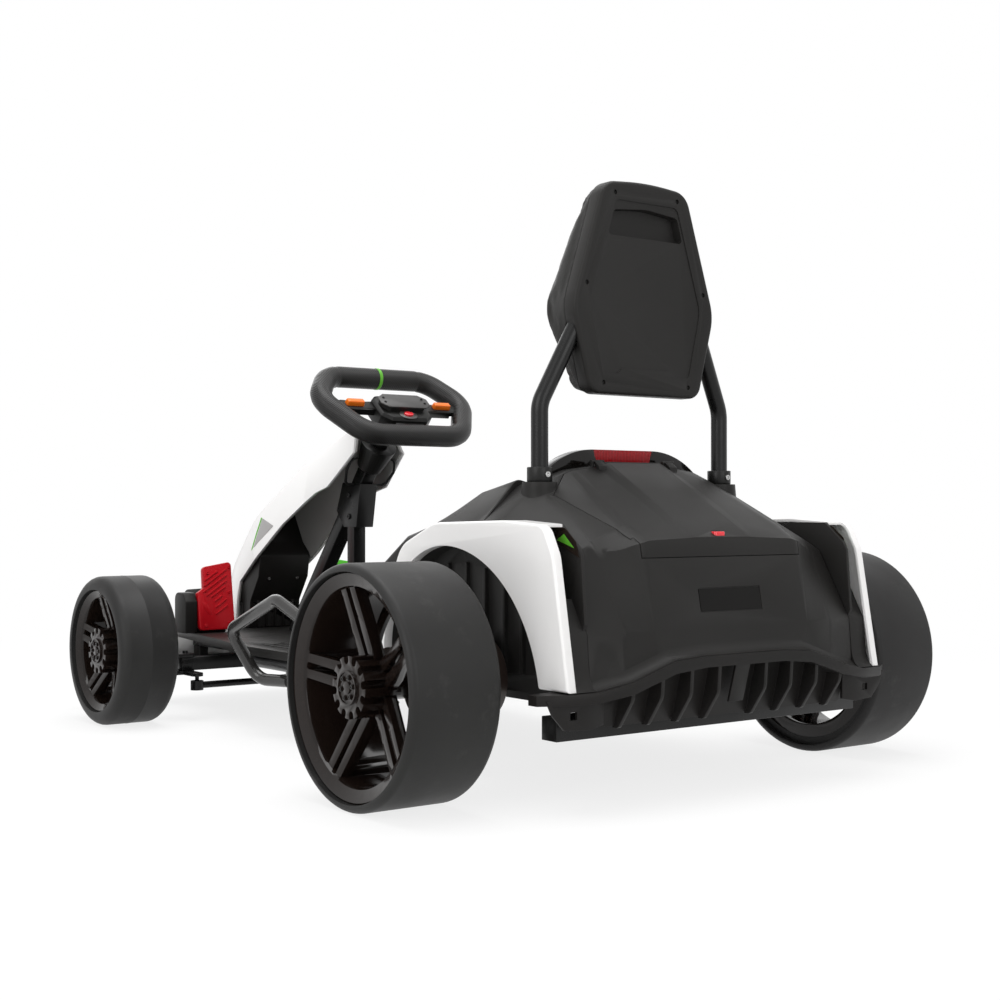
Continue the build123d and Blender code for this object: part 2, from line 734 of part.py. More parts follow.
def build_body_form(inset):
    """Outer form of the rear body, or the same form drawn in all round by a wall."""
    with BuildPart() as plan_form:
        for z, mid_x, mid_in, corner_x, corner_in, side_x, side_radius in plan_sections:
            with BuildSketch(Plane.XY.offset(z)):
                with BuildLine():
                    half = [
                        (rear_x + body_front - inset, body_half - inset),
                        (rear_x + side_x + inset, body_half - inset),
                        (rear_x + corner_x + inset, body_half - corner_in - inset),
                        (rear_x + mid_x + inset, body_half - mid_in - inset),
                    ]
                    radii = [0, side_radius, 50, 30]
                    FilletPolyline(*half, *[(x, -y) for x, y in reversed(half)],
                                   radius=radii + radii[::-1], close=True)
                make_face()
        loft(ruled=True)
    with BuildPart() as length_form:
        for x, top, drop, crown_in, crown_z, shoulder_in, shoulder_z, outer_z in length_sections:
            with BuildSketch(Plane.YZ.offset(rear_x + x)):
                with BuildLine():
                    half = [
                        (hump_half, top - inset),
                        (hump_half + hump_slope, top - drop - inset),
                        (body_half - crown_in - inset / 2, crown_z - inset),
                        (body_half - shoulder_in - inset / 2, shoulder_z - inset),
                        (body_half + 1, outer_z - inset),
                        (body_half + 1, body_bottom - inset),
                    ]
                    radii = [14, 14, 50, 50, 12, 0]
                    FilletPolyline(*half, *[(-y, z) for y, z in reversed(half)],
                                   radius=radii + radii[::-1], close=True)
                make_face()
        loft(ruled=True)
    with BuildPart() as form:
        add(plan_form.part)
        add(length_form.part, mode=Mode.INTERSECT)
    return form


def build_lid_cutter(gap):
    """Prism round the boot lid: its plan outline, and the flap that hangs down the rear face."""
    with BuildPart() as cutter:
        with BuildSketch(Plane.XY.offset(230)):
            with BuildLine():
                half = [
                    (lid_front_x + gap, lid_front_half + gap / 2),
                    (lid_slope_x + gap / 2, lid_half + gap),
                    (lid_rear_x - gap, flap_half + 4 + gap),
                ]
                Polyline(*half, *[(x, -y) for x, y in reversed(half)], close=True)
            make_face()
        extrude(amount=200)
        with BuildSketch(Plane.XY.offset(flap_bottom - gap)):
            with Locations((lid_rear_x - 40 + panel_gap, 0)):
                Rectangle(80, 2 * (flap_half + gap))
        extrude(amount=100)
    return cutter


def rear_face_x(y):
    """How far behind the axle the rear face stands at its crease, at a distance from the middle."""
    row = plan_sections[1]
    stations = [(0, row[1]), (body_half - row[2], row[1]), (body_half - row[4], row[3]), (body_half, row[5])]
    for (y0, x0), (y1, x1) in zip(stations, stations[1:]):
        if y0 <= y <= y1:
            return x0 + (x1 - x0) * (y - y0) / (y1 - y0)
    return row[5]


# Bumper lip wave: y past the side of the body, top z, bottom z
lip_wave = [(64, 127, 116), (2, 128, 117), (-40, 136, 124), (-98, 155, 142), (-143, 158, 146)]
lip_half = body_half + lip_wave[0][0]
# Bumper lip in plan: x from the rear axle, y past the side of the body
lip_plan = [(-130, 64), (-154, 64), (-172, 37), (-186, -33), (-188, -103)]
flare_rise = 25


def lip_edge(y):
    """How far behind the axle the lip reaches at a distance from the middle."""
    stations = [(body_half + past, x) for x, past in reversed(lip_plan[1:])]
    for (y0, x0), (y1, x1) in zip(stations, stations[1:]):
        if y0 <= y <= y1:
            return x0 + (x1 - x0) * (y - y0) / (y1 - y0)
    return stations[0][1]


# Flare: the skirt that curls out from the rear face to the lip, following its wave
with BuildPart() as flare:
    flare_line = [(body_half + past, top) for past, top, low in lip_wave[1:]]
    flare_line[0] = (body_half, flare_line[0][1])
    flare_stations = flare_line + [(-y, top) for y, top in reversed(flare_line)]
    for y, top in flare_stations:
        face_x = rear_x + rear_face_x(abs(y))
        tip_x = rear_x + lip_edge(abs(y)) + 2.5
        with BuildSketch(Plane.XZ.offset(-y)):
            with BuildLine():
                ThreePointArc((face_x, top + flare_rise),
                              (face_x + 0.26 * (tip_x - face_x), top + 0.26 * flare_rise), (tip_x, top))
                Polyline((tip_x, top), (face_x + 2.5, top), (face_x + 2.5, top + flare_rise),
                         (face_x, top + flare_rise))
            make_face()
    loft(ruled=True)

outer_form = build_body_form(0)
inner_form = build_body_form(body_wall)
boss_radius = 19
with BuildPart() as body_shell:
    add(outer_form.part)
    add(inner_form.part, mode=Mode.SUBTRACT)
button_x = rear_x - 142
button_low = 281
barrel_mid_y = barrel_inner_y + barrel_length / 2
# Lid lug that carries a hinge barrel: x and z about the hinge pin
lug_outline = [(0, barrel_radius), (-10.8, -5.3), (-10.8, -10.5), (-2.8, -6), (-2.8, -1.2), (0, -1.2)]
with BuildPart() as rear_lid:
    add(body_shell.part)
    add(build_lid_cutter(0).part, mode=Mode.INTERSECT)
    with BuildSketch(Plane.XY.offset(button_low)):
        with Locations((button_x, 0)):
            RectangleRounded(9 + 2 * seat_gap, 16 + 2 * seat_gap, 3)
    extrude(amount=20, mode=Mode.SUBTRACT)
    for side in (1, -1):
        with BuildSketch(Plane.XZ.offset(-side * barrel_mid_y)) as lug:
            with BuildLine():
                Polyline(*[(hinge_x + x, hinge_z + z) for x, z in lug_outline], close=True)
            make_face()
            with Locations((hinge_x, hinge_z)):
                Circle(barrel_radius)
        extrude(lug.sketch, amount=barrel_length / 2, both=True)
    with BuildSketch(Plane.XZ.offset(-barrel_inner_y - barrel_length - 1)) as bore:
        with Locations((hinge_x, hinge_z)):
            Circle(hinge_pin_radius + 0.05)
    extrude(bore.sketch, amount=2 * (barrel_inner_y + barrel_length + 1), mode=Mode.SUBTRACT)
keep(rear_lid, "rear_lid")

# Blank plate panel in the rear face, sunk by a millimetre
plate_half = 48
plate_low = 203
plate_high = 230
with BuildPart() as plate_skin:
    add(outer_form.part)
    add(build_body_form(1.2).part, mode=Mode.SUBTRACT)
    with BuildSketch(Plane.YZ.offset(rear_x - rear_overhang)):
        with Locations((0, (plate_low + plate_high) / 2)):
            Rectangle(2 * plate_half, plate_high - plate_low)
    extrude(amount=60, mode=Mode.INTERSECT)
lip_line = [(body_half + past, top, low) for past, top, low in lip_wave]
with BuildPart() as under_lip:
    with BuildSketch(Plane.YZ.offset(rear_x - 130)):
        with BuildLine():
            wave_top = [(y, top + seat_gap) for y, top, low in lip_line]
            Polyline((lip_half, 60), *wave_top, *[(-y, z) for y, z in reversed(wave_top)],
                     (-lip_half, 60), close=True)
        make_face()
    extrude(amount=-80)
with BuildPart() as rear_body:
    add(body_shell.part)
    add(build_lid_cutter(panel_gap).part, mode=Mode.SUBTRACT)
    add(flare.part)
    with BuildSketch(Plane.XY.offset(290)):
        for side in (1, -1):
            with Locations((rear_x, side * post_y)):
                Circle(boss_radius + 6)
    extrude(amount=collar_top_z - collar_height - 290, taper=5)
    with BuildSketch(Plane.XY.offset(290)):
        for side in (1, -1):
            with Locations((rear_x, side * post_y)):
                Circle(post_radius + seat_gap)
    extrude(amount=100, mode=Mode.SUBTRACT)
    with BuildSketch(Plane.XY.offset(collar_top_z - collar_height)):
        for side in (1, -1):
            with Locations((rear_x, side * post_y)):
                Circle(post_collar_radius + 2)
    extrude(amount=40, mode=Mode.SUBTRACT)
    with BuildSketch(Plane.XZ.offset(-body_half - 1)):
        with Locations((rear_x, rear_tyre_radius)):
            Circle(rear_shaft_radius + 4)
    extrude(amount=2 * body_half + 2, mode=Mode.SUBTRACT)
    add(plate_skin.part, mode=Mode.SUBTRACT)
    add(under_lip.part, mode=Mode.SUBTRACT)
    for side in (1, -1):
        with BuildSketch(Plane.XZ.offset(-side * barrel_mid_y)) as notch:
            with Locations((hinge_x, hinge_z)):
                Circle(barrel_radius + panel_gap)
        extrude(notch.sketch, amount=barrel_length / 2 + seat_gap, both=True, mode=Mode.SUBTRACT)
        for ear_y in (barrel_inner_y - seat_gap - ear_thick / 2,
                      barrel_inner_y + barrel_length + seat_gap + ear_thick / 2):
            with BuildSketch(Plane.XZ.offset(-side * ear_y)) as ear:
                with Locations((hinge_x, hinge_z)):
                    Circle(barrel_radius)
                with Locations((hinge_x + 0.2, hinge_z - 3.5)):
                    Rectangle(2 * barrel_radius - 0.4, 7)
            extrude(ear.sketch, amount=ear_thick / 2, both=True)
        with BuildSketch(Plane.XZ.offset(-side * barrel_mid_y)) as hinge_pin:
            with Locations((hinge_x, hinge_z)):
                Circle(hinge_pin_radius)
        extrude(hinge_pin.sketch, amount=barrel_length / 2 + ear_thick, both=True)
keep(rear_body, "rear_body")

with BuildPart() as lid_button:
    with BuildSketch(Plane.XY.offset(button_low)):
        with Locations((button_x, 0)):
            RectangleRounded(9, 16, 3)
    extrude(amount=10)
keep(lid_button, "lid_button")

# Hips: the two side bolsters that run forward from the posts beside the bucket
hip_sections = [
    # x from the rear axle, inner top z, outer top z, inset from the side
    (30.3, 352, 298, 0),
    (95, 338, 300, 0),
    (187, 299, 282, 0),
    (280, 236, 228, 3),
    (351.7, 158, 154, 6),
]
with BuildPart() as hips:
    for x, inner_z, outer_z, inset in hip_sections:
        with BuildSketch(Plane.YZ.offset(rear_x + x)):
            with BuildLine():
                FilletPolyline(
                    (bucket_half + seat_gap, body_bottom),
                    (body_half - inset, body_bottom),
                    (body_half - inset, outer_z),
                    (bucket_half + 26, inner_z),
                    (bucket_half + seat_gap, inner_z - 6),
                    radius=[0, 0, 8, 14, 0],
                    close=True,
                )
            make_face()
    loft(ruled=True)
    mirror(about=Plane.XZ)
keep(hips, "hips")

# Fenders: white shells outside the wells, with a return all round and a top that reaches the well
# Side outline: x from the rear axle, z, corner radius
fender_outline = [(205, 130, 0), (176, 212, 50), (141, 274, 40), (72, 301, 60), (-60, 304, 60),
                  (-129, 300, 20), (-146, 268, 30), (-171, 129, 0)]


def draw_arch(grow):
    """Wheel arch curve, from its rear foot over the tyre to its front foot."""
    ThreePointArc((rear_x - 123 - grow, 129), (rear_x - 69 - 0.7 * grow, 228 + 0.7 * grow),
                  (rear_x + 52, 275 + grow))
    ThreePointArc((rear_x + 52, 275 + grow), (rear_x + 128 + 0.7 * grow, 248 + 0.7 * grow),
                  (rear_x + 176 + grow, 130))


with BuildSketch(Plane.XZ) as fender_side:
    with BuildLine():
        crest = [(rear_x + x, z) for x, z, radius in fender_outline]
        FilletPolyline(*crest, radius=[radius for x, z, radius in fender_outline][1:-1])
        Line(crest[-1], (rear_x - 123, 129))
        draw_arch(0)
        Line((rear_x + 176, 130), crest[0])
    make_face()
with BuildSketch(Plane.XZ) as arch_hole:
    with BuildLine():
        draw_arch(5)
        Polyline((rear_x + 181, 130), (rear_x + 181, 100), (rear_x - 128, 100), (rear_x - 128, 129))
    make_face()
with BuildPart() as fenders:
    extrude(fender_side.sketch.moved(Location((0, fender_outer_y - fender_return, 0))), amount=-fender_return)
    outer_face = fenders.faces().sort_by(Axis.Y)[-1]
    fillet(outer_face.edges().filter_by(lambda edge: edge.center().Z > 280 or
                                        edge.center().X < rear_x - 128), 3)
    with BuildSketch(Plane.XZ.offset(-(fender_outer_y - fender_return))) as hollow:
        add(fender_side.sketch.moved(Location((0, fender_outer_y - fender_return, 0))))
        offset(amount=-fender_wall)
    extrude(hollow.sketch, amount=-(fender_return - fender_wall), mode=Mode.SUBTRACT)
    with BuildPart(mode=Mode.PRIVATE) as top_strip:
        extrude(fender_side.sketch.moved(Location((0, fender_inner_y, 0))),
                amount=-(fender_outer_y - fender_return - fender_inner_y))
        extrude(fender_side.sketch.moved(Location((-fender_wall, fender_inner_y, -fender_wall))),
                amount=-(fender_outer_y - fender_return - fender_inner_y), mode=Mode.SUBTRACT)
        extrude(arch_hole.sketch.moved(Location((0, fender_inner_y, 0))),
                amount=-(fender_outer_y - fender_return - fender_inner_y), mode=Mode.SUBTRACT)
        split(bisect_by=Plane.YZ.offset(rear_x - 122), keep=Keep.TOP)
    add(top_strip.part)
    mirror(about=Plane.XZ)
keep(fenders, "fenders")

# Wheel wells: upright black panels behind the fenders' arches, ribbed towards the tyres, with the arch
# lining and the corner of the rear face that reaches out to the fender
well_outline = [(-130, 117), (-130, 129), (-157, 129), (-152.5, 186), (-158, 196), (-152, 268), (-147, 277),
                (-119, 300), (-62, 300), (-44, 291), (120, 282), (150, 250), (180, 205), (212, 117)]
# Corner panel, a strip that carries on the rear face: x from the rear axle, z
corner_strip = [(-171.5, 128.6), (-166, 133), (-161.5, 142), (-160, 153), (-157, 186), (-137, 222),
                (-132, 222), (-152.5, 186), (-157, 128.6)]
# Ribs: x from the rear axle, top z
well_ribs = [(-88, 184), (-56, 212), (-24, 234), (12, 250), (48, 256), (84, 254)]
rib_bottom = 136
well_inner_y = body_half + seat_gap
with BuildPart() as wheel_wells:
    with BuildSketch(Plane.XZ.offset(-well_inner_y)) as well_panel:
        with BuildLine():
            Polyline(*[(rear_x + x, z) for x, z in well_outline], close=True)
        make_face()
        with Locations((rear_x, rear_tyre_radius)):
            Circle(rear_shaft_radius + 4, mode=Mode.SUBTRACT)
    extrude(well_panel.sketch, amount=-well_thick)
    with BuildSketch(Plane.XZ.offset(-well_inner_y - well_thick)) as ribs:
        for x, top_z in well_ribs:
            with Locations((rear_x + x, (rib_bottom + top_z) / 2)):
                SlotOverall(top_z - rib_bottom, 5, rotation=90)
    extrude(ribs.sketch, amount=-5)
    with BuildSketch(Plane.XZ.offset(-well_inner_y)) as corner:
        with BuildLine():
            Polyline(*[(rear_x + x, z) for x, z in corner_strip], close=True)
        make_face()
    extrude(corner.sketch, amount=-(fender_outer_y - fender_return - seat_gap - well_inner_y))
    with BuildSketch(Plane.XZ.offset(-well_inner_y - well_thick / 2)) as lining:
        with BuildLine():
            draw_arch(fender_wall)
            Line((rear_x + 176 + fender_wall, 130), (rear_x + 176, 130))
            draw_arch(0)
            Line((rear_x - 123, 129), (rear_x - 123 - fender_wall, 129))
        make_face()
    extrude(lining.sketch,
            amount=-(fender_outer_y - fender_return - seat_gap - well_inner_y - well_thick / 2))
    mirror(about=Plane.XZ)
keep(wheel_wells, "wheel_wells")

# Rear bumper: the wavy lip, the slanted panel under it with its claw-shaped fins, the end plates and
# the strap in the middle
fin_places = [36, 77, 119, 160]
fin_thick = 5
panel_half = body_half - 14
diffuser_low = 88
panel_profile = [(-170, 158), (-152, diffuser_low), (-148.5, diffuser_low), (-166.5, 158)]
# Fin outline in side view: x from the rear axle, z, corner radius
fin_outline = [(-183, 158, 0), (-180, 117, 16), (-158, diffuser_low - 2, 5), (-150, diffuser_low - 2, 0),
               (-150, diffuser_low + 4, 0), (-168, 158, 0)]
# End plate: y past the side of the body, z
end_plate = [(-18, 92), (4, diffuser_low), (34, 90), (49, 106), (57, 122), (2, 122), (-18, 128)]
strap_half = 11
strap_profile = [(-185, 158), (-170, 104), (-167, 104), (-182, 158)]
with BuildPart() as under_wave:
    with BuildSketch(Plane.YZ.offset(rear_x - 130)):
        with BuildLine():
            wave_low = [(y, (top + low) / 2) for y, top, low in lip_line]
            Polyline((lip_half, 60), *wave_low, *[(-y, z) for y, z in reversed(wave_low)],
                     (-lip_half, 60), close=True)
        make_face()
    extrude(amount=-80)
with BuildPart() as diffuser_parts:
    with BuildSketch(Plane.XZ) as slanted:
        with BuildLine():
            Polyline(*[(rear_x + x, z) for x, z in panel_profile], close=True)
        make_face()
    extrude(slanted.sketch, amount=panel_half, both=True)
    with BuildSketch(Plane.XZ) as fin:
        with BuildLine():
            FilletPolyline(*[(rear_x + x, z) for x, z, radius in fin_outline],
                           radius=[radius for x, z, radius in fin_outline], close=True)
        make_face()
    for fin_y in fin_places:
        for side in (1, -1):
            extrude(fin.sketch.moved(Location((0, side * fin_y, 0))), amount=fin_thick / 2, both=True)
    with BuildSketch(Plane.XZ) as strap:
        with BuildLine():
            Polyline(*[(rear_x + x, z) for x, z in strap_profile], close=True)
        make_face()
    extrude(strap.sketch, amount=strap_half, both=True)
    for side in (1, -1):
        with BuildSketch(Plane.YZ.offset(rear_x - 162)) as plate:
            with BuildLine():
                Polyline(*[(side * (body_half + past), z) for past, z in end_plate], close=True)
            make_face()
            with Locations((side * (body_half + 22), 104)):
                Rectangle(9, 8, mode=Mode.SUBTRACT)
        extrude(plate.sketch, amount=3.5)
    add(under_wave.part, mode=Mode.INTERSECT)
with BuildPart() as diffuser:
    with BuildSketch(Plane.YZ.offset(rear_x - 140)) as wave:
        with BuildLine():
            top_edge = [(y, top) for y, top, low in lip_line]
            low_edge = [(y, low) for y, top, low in lip_line]
            Polyline(*top_edge, *[(-y, z) for y, z in reversed(top_edge)],
                     *[(-y, z) for y, z in low_edge], *reversed(low_edge), close=True)
        make_face()
    extrude(wave.sketch, amount=-60)
    with BuildSketch(Plane.XY.offset(60)) as lip_outline:
        with BuildLine():
            lip_points = [(rear_x + x, body_half + past) for x, past in lip_plan]
            Polyline(*lip_points, *[(x, -y) for x, y in reversed(lip_points)], close=True)
        make_face()
    extrude(lip_outline.sketch, amount=200, mode=Mode.INTERSECT)
    add(diffuser_parts.part)
keep(diffuser, "diffuser")

# Tail lamp and its dark garnish on the crest of the body
lamp_rear_x = rear_x + 19
lamp_depth = 15
garnish_half = body_half - 77
with BuildPart() as garnish_form:
    with BuildSketch(Plane.YZ.offset(lamp_rear_x)):
        with BuildLine():
            ThreePointArc((-garnish_half, 353), (-0.78 * garnish_half, 374), (-46, 387))
            Line((-46, 387), (46, 387))
            ThreePointArc((46, 387), (0.78 * garnish_half, 374), (garnish_half, 353))
            Polyline((garnish_half, 353), (garnish_half - 6, 340), (6 - garnish_half, 340),
                     (-garnish_half, 353))
        make_face()
    extrude(amount=lamp_depth)
    add(build_body_form(-seat_gap).part, mode=Mode.SUBTRACT)
with BuildPart() as lens_form:
    with BuildSketch(Plane.YZ.offset(lamp_rear_x - 5)):
        with BuildLine():
            Polyline((-50, 400), (50, 400), (41, 368), (-41, 368), close=True)
        make_face()
    extrude(amount=14)
with BuildPart() as tail_lamp:
    add(garnish_form.part)
    add(lens_form.part, mode=Mode.INTERSECT)
keep(tail_lamp, "tail_lamp")
with BuildPart() as lamp_garnish:
    add(garnish_form.part)
    add(lens_form.part, mode=Mode.SUBTRACT)
keep(lamp_garnish, "lamp_garnish")

# Seat: a moulded bucket between the hips and a padded cushion in it
# Upper face of the bucket: x from the rear axle, z
bucket_line = [(40, 350), (60, 232), (100, 186), (318, 178), (350, 166), (368, floor_top + 6)]
seat_run = (bucket_line[3][0] - bucket_line[2][0], bucket_line[3][1] - bucket_line[2][1])
seat_plane = Plane(
    origin=(rear_x + bucket_line[2][0] + seat_run[0] / 2, 0, bucket_line[2][1] + seat_run[1] / 2),
    x_dir=(seat_run[0], 0, seat_run[1]), z_dir=(-seat_run[1], 0, seat_run[0]),
)
with BuildPart() as seat_bucket:
    with BuildSketch(Plane.XZ):
        with BuildLine():
            upper = FilletPolyline(*[(rear_x + x, z) for x, z in bucket_line], radius=[40, 40, 30, 20])
            offset(amount=bucket_thick, side=Side.RIGHT)
        make_face()
    extrude(amount=bucket_half, both=True)
keep(seat_bucket, "seat_bucket")
with BuildPart() as seat_cushion:
    with BuildSketch(seat_plane.offset(seat_gap)):
        RectangleRounded(184, 2 * bucket_half - 36, 26)
    extrude(amount=24)
    fillet(seat_cushion.faces().sort_by(Axis.Z)[-1].edges(), 8)
keep(seat_cushion, "seat_cushion")

# Backrest: two bent tubes in clamp collars, a rear shell with a grip pocket and a padded front
post_rise = post_top_z - post_bend_z
post_lean_y = 0.5
post_lean_x = 0.1
with BuildPart() as backrest_posts:
    with BuildLine() as post_line:
        FilletPolyline(
            (rear_x, post_y, 300),
            (rear_x, post_y, post_bend_z),
            (rear_x - post_lean_x * post_rise, post_y - post_lean_y * post_rise, post_top_z),
            radius=40,
        )
    with BuildSketch(Plane(origin=post_line.line @ 0, z_dir=post_line.line % 0)):
        Circle(post_radius)
    sweep()
    mirror(about=Plane.XZ)
keep(backrest_posts, "backrest_posts")
with BuildPart() as post_collars:
    with BuildSketch(Plane.XY.offset(collar_top_z - collar_height + seat_gap)):
        for side in (1, -1):
            with Locations((rear_x, side * post_y)):
                Circle(post_collar_radius + 1.5)
                Circle(post_radius + seat_gap, mode=Mode.SUBTRACT)
    extrude(amount=collar_height - seat_gap)
keep(post_collars, "post_collars")

# Half outline of the backrest from the middle of its top edge: y, z, corner radius
backrest_outline = [(0, backrest_top + 2, 400), (post_y - 76.5, backrest_top - 4, 26),
                    (post_y - 30.5, 552, 60), (post_y - 56.5, backrest_bottom, 18)]


def sketch_backrest(plane, grow):
    """Coffin-shaped outline of the backrest on a plane, grown or shrunk by a margin."""
    with BuildSketch(plane) as outline:
        with BuildLine():
            half = [(y, z) for y, z, radius in backrest_outline]
            radii = [radius for y, z, radius in backrest_outline]
            FilletPolyline(*half, *[(-y, z) for y, z in reversed(half[1:])],
                           radius=radii + radii[:0:-1], close=True)
        make_face()
        if grow:
            offset(amount=grow, kind=Kind.INTERSECTION)
    return outline


pocket_depth = 14
shell_round = 5
post_axis_low = (rear_x - 0.05 * post_rise, post_y - 0.25 * post_rise, post_bend_z + 0.5 * post_rise)
post_axis_high = (rear_x - 0.103 * post_rise, post_y - 0.515 * post_rise, post_bend_z + 1.03 * post_rise)
# Bores for the two posts between shell and pad
with BuildPart() as post_bores:
    with BuildLine() as post_axis:
        Line(post_axis_low, post_axis_high)
    with BuildSketch(Plane(origin=post_axis.line @ 0, z_dir=post_axis.line % 0)):
        Circle(post_radius + seat_gap)
    sweep()
    mirror(about=Plane.XZ)
with BuildPart() as backrest_shell:
    add(sketch_backrest(Plane.YZ.offset(backrest_rear_x), 0).sketch)
    extrude(amount=backrest_split_x - backrest_rear_x - 0.2, dir=(1, 0, 0))
    fillet(backrest_shell.faces().sort_by(Axis.X)[0].edges(), shell_round)
    with BuildSketch(Plane.YZ.offset(backrest_rear_x)) as panel:
        with BuildLine():
            panel_half = [(post_y - 93.5, 678), (post_y - 55.5, 556), (post_y - 74.5, 474),
                          (post_y - 96.5, 474), (post_y - 104.5, 481)]
            FilletPolyline(*panel_half, *[(-y, z) for y, z in reversed(panel_half)],
                           radius=[10, 40, 7, 4, 4, 4, 4, 7, 40, 10], close=True)
        make_face()
    extrude(panel.sketch, amount=1.5, mode=Mode.SUBTRACT)
    with BuildSketch(Plane.YZ.offset(backrest_rear_x)) as pocket:
        with BuildLine():
            FilletPolyline((0, 671), (50, 666), (59, 636), (-59, 636), (-50, 666),
                           radius=[100, 7, 4, 4, 7], close=True)
        make_face()
    extrude(pocket.sketch, amount=pocket_depth, mode=Mode.SUBTRACT)
    with BuildSketch(Plane.YZ.offset(backrest_rear_x)) as screw_holes:
        for side in (1, -1):
            with Locations((side * (post_y - 93.5), 686), (side * (post_y - 50.5), 577),
                           (side * (post_y - 75.5), 463)):
                Circle(2.8)
    extrude(screw_holes.sketch, amount=6, mode=Mode.SUBTRACT)
    add(post_bores.part, mode=Mode.SUBTRACT)
keep(backrest_shell, "backrest_shell")

# Front of the pad in side view: x from the rear axle, z, corner radius
pad_profile = [(20, 440, 0), (23, 462, 60), (46, 550, 90), (30, 640, 90), (10, 702, 0), (8, 712, 0)]
with BuildPart() as backrest_pad:
    add(sketch_backrest(Plane.YZ.offset(backrest_split_x + 0.2), 0).sketch)
    extrude(amount=60, dir=(1, 0, 0), taper=9)
    with BuildSketch(Plane.XZ) as pad_side:
        with BuildLine():
            front = FilletPolyline(*[(rear_x + x, z) for x, z, radius in pad_profile],
                                   radius=[radius for x, z, radius in pad_profile][1:-1])
            Polyline(front @ 1, (backrest_split_x, 712), (backrest_split_x, 440), front @ 0)
        make_face()
    extrude(pad_side.sketch, amount=140, both=True, mode=Mode.INTERSECT)
    add(post_bores.part, mode=Mode.SUBTRACT)
keep(backrest_pad, "backrest_pad")

# Nose: a channel swept along the sloping crest line, white outside and lined inside
# Crest line: x from the front axle, z
crest_route = [(-191, 439), (-41, 388), (129, 302), (222, 205), (230, 96)]
crest_radii = [300, 170, 120]
# Rear edge of the cowl's side walls: x from the front axle, z
cowl_edge = [(-236, 420), (-209, 404), (-142, 350), (-104, 341), (0, 292), (71, 245), (150, 196),
             (154, 142), (158, bumper_top + seat_gap)]


def build_cowl_form(inset, depth):
    """Swept channel section, drawn in by an inset all round."""
    with BuildPart() as form:
        with BuildLine() as crest:
            FilletPolyline(*[(front_x + x, 0, z) for x, z in crest_route], radius=crest_radii)
        start = Plane(origin=crest.line @ 0, x_dir=(0, 1, 0), z_dir=crest.line % 0)
        with BuildSketch(start):
            with BuildLine():
                low_half = cowl_top_half + (cowl_low_half - cowl_top_half) * depth / cowl_depth
                half = [(cowl_top_half - inset, inset), (low_half - inset, depth)]
                if start.y_dir.Z > 0:
                    half = [(y, -z) for y, z in half]
                Polyline(*half, *[(-y, z) for y, z in reversed(half)], close=True)
            make_face()
        sweep()
    return form


def build_edge_cutter(shift):
    """Everything behind and below the rear edge of the cowl's walls."""
    with BuildPart() as cutter:
        with BuildSketch(Plane.XZ):
            with BuildLine():
                edge = [(front_x + x + shift, z) for x, z in cowl_edge]
                Polyline((front_x - 376, 500), (edge[0][0], 500), *edge,
                         (nose_x + 50, bumper_top + seat_gap), (nose_x + 50, 40), (front_x - 376, 40),
                         close=True)
            make_face()
        extrude(amount=150, both=True)
    return cutter


with BuildPart() as nose_cowl:
    add(build_cowl_form(0, cowl_depth).part)
    add(build_cowl_form(cowl_wall, cowl_depth + 5).part, mode=Mode.SUBTRACT)
    add(build_edge_cutter(0).part, mode=Mode.SUBTRACT)
keep(nose_cowl, "nose_cowl")
with BuildPart() as cowl_liner:
    add(build_cowl_form(cowl_wall + seat_gap, cowl_depth).part)
    add(build_cowl_form(cowl_wall + seat_gap + cowl_liner_wall, cowl_depth + 5).part,
        mode=Mode.SUBTRACT)
    add(build_edge_cutter(2).part, mode=Mode.SUBTRACT)
    with BuildSketch(column_axis_plane.offset(-6)) as collar_room:
        Circle(collar_top_radius + 1)
    extrude(collar_room.sketch, amount=30, mode=Mode.SUBTRACT)
keep(cowl_liner, "cowl_liner")

# Nose box: the closed electrics housing between the cowl's walls, standing on the floor
box_half = 46
# Side view of the box: x from the front axle, z
box_profile = [(124, floor_top), (120, 165), (92, 205), (86, 240), (98, 262), (104, 320), (184, 320),
               (184, 160), (149, 160), (149, floor_top)]
box_ribs = 5
rib_depth = 3
with BuildPart() as nose_box:
    with BuildSketch(Plane.XZ) as box_side:
        with BuildLine():
            Polyline(*[(front_x + x, z) for x, z in box_profile], close=True)
        make_face()
    extrude(box_side.sketch, amount=box_half, both=True)
    with BuildSketch(Plane.XZ) as rib:
        with BuildLine():
            Polyline((front_x + 126, floor_top), (front_x + 124 - rib_depth, floor_top),
                     (front_x + 120 - rib_depth, 160), (front_x + 122, 168), close=True)
        make_face()
    for number in range(box_ribs):
        rib_y = (number - (box_ribs - 1) / 2) * 16
        extrude(rib.sketch.moved(Location((0, rib_y, 0))), amount=1.5, both=True)
    add(build_cowl_form(cowl_wall + cowl_liner_wall + 2 * seat_gap, cowl_depth + 8).part,
        mode=Mode.INTERSECT)
keep(nose_box, "nose_box")

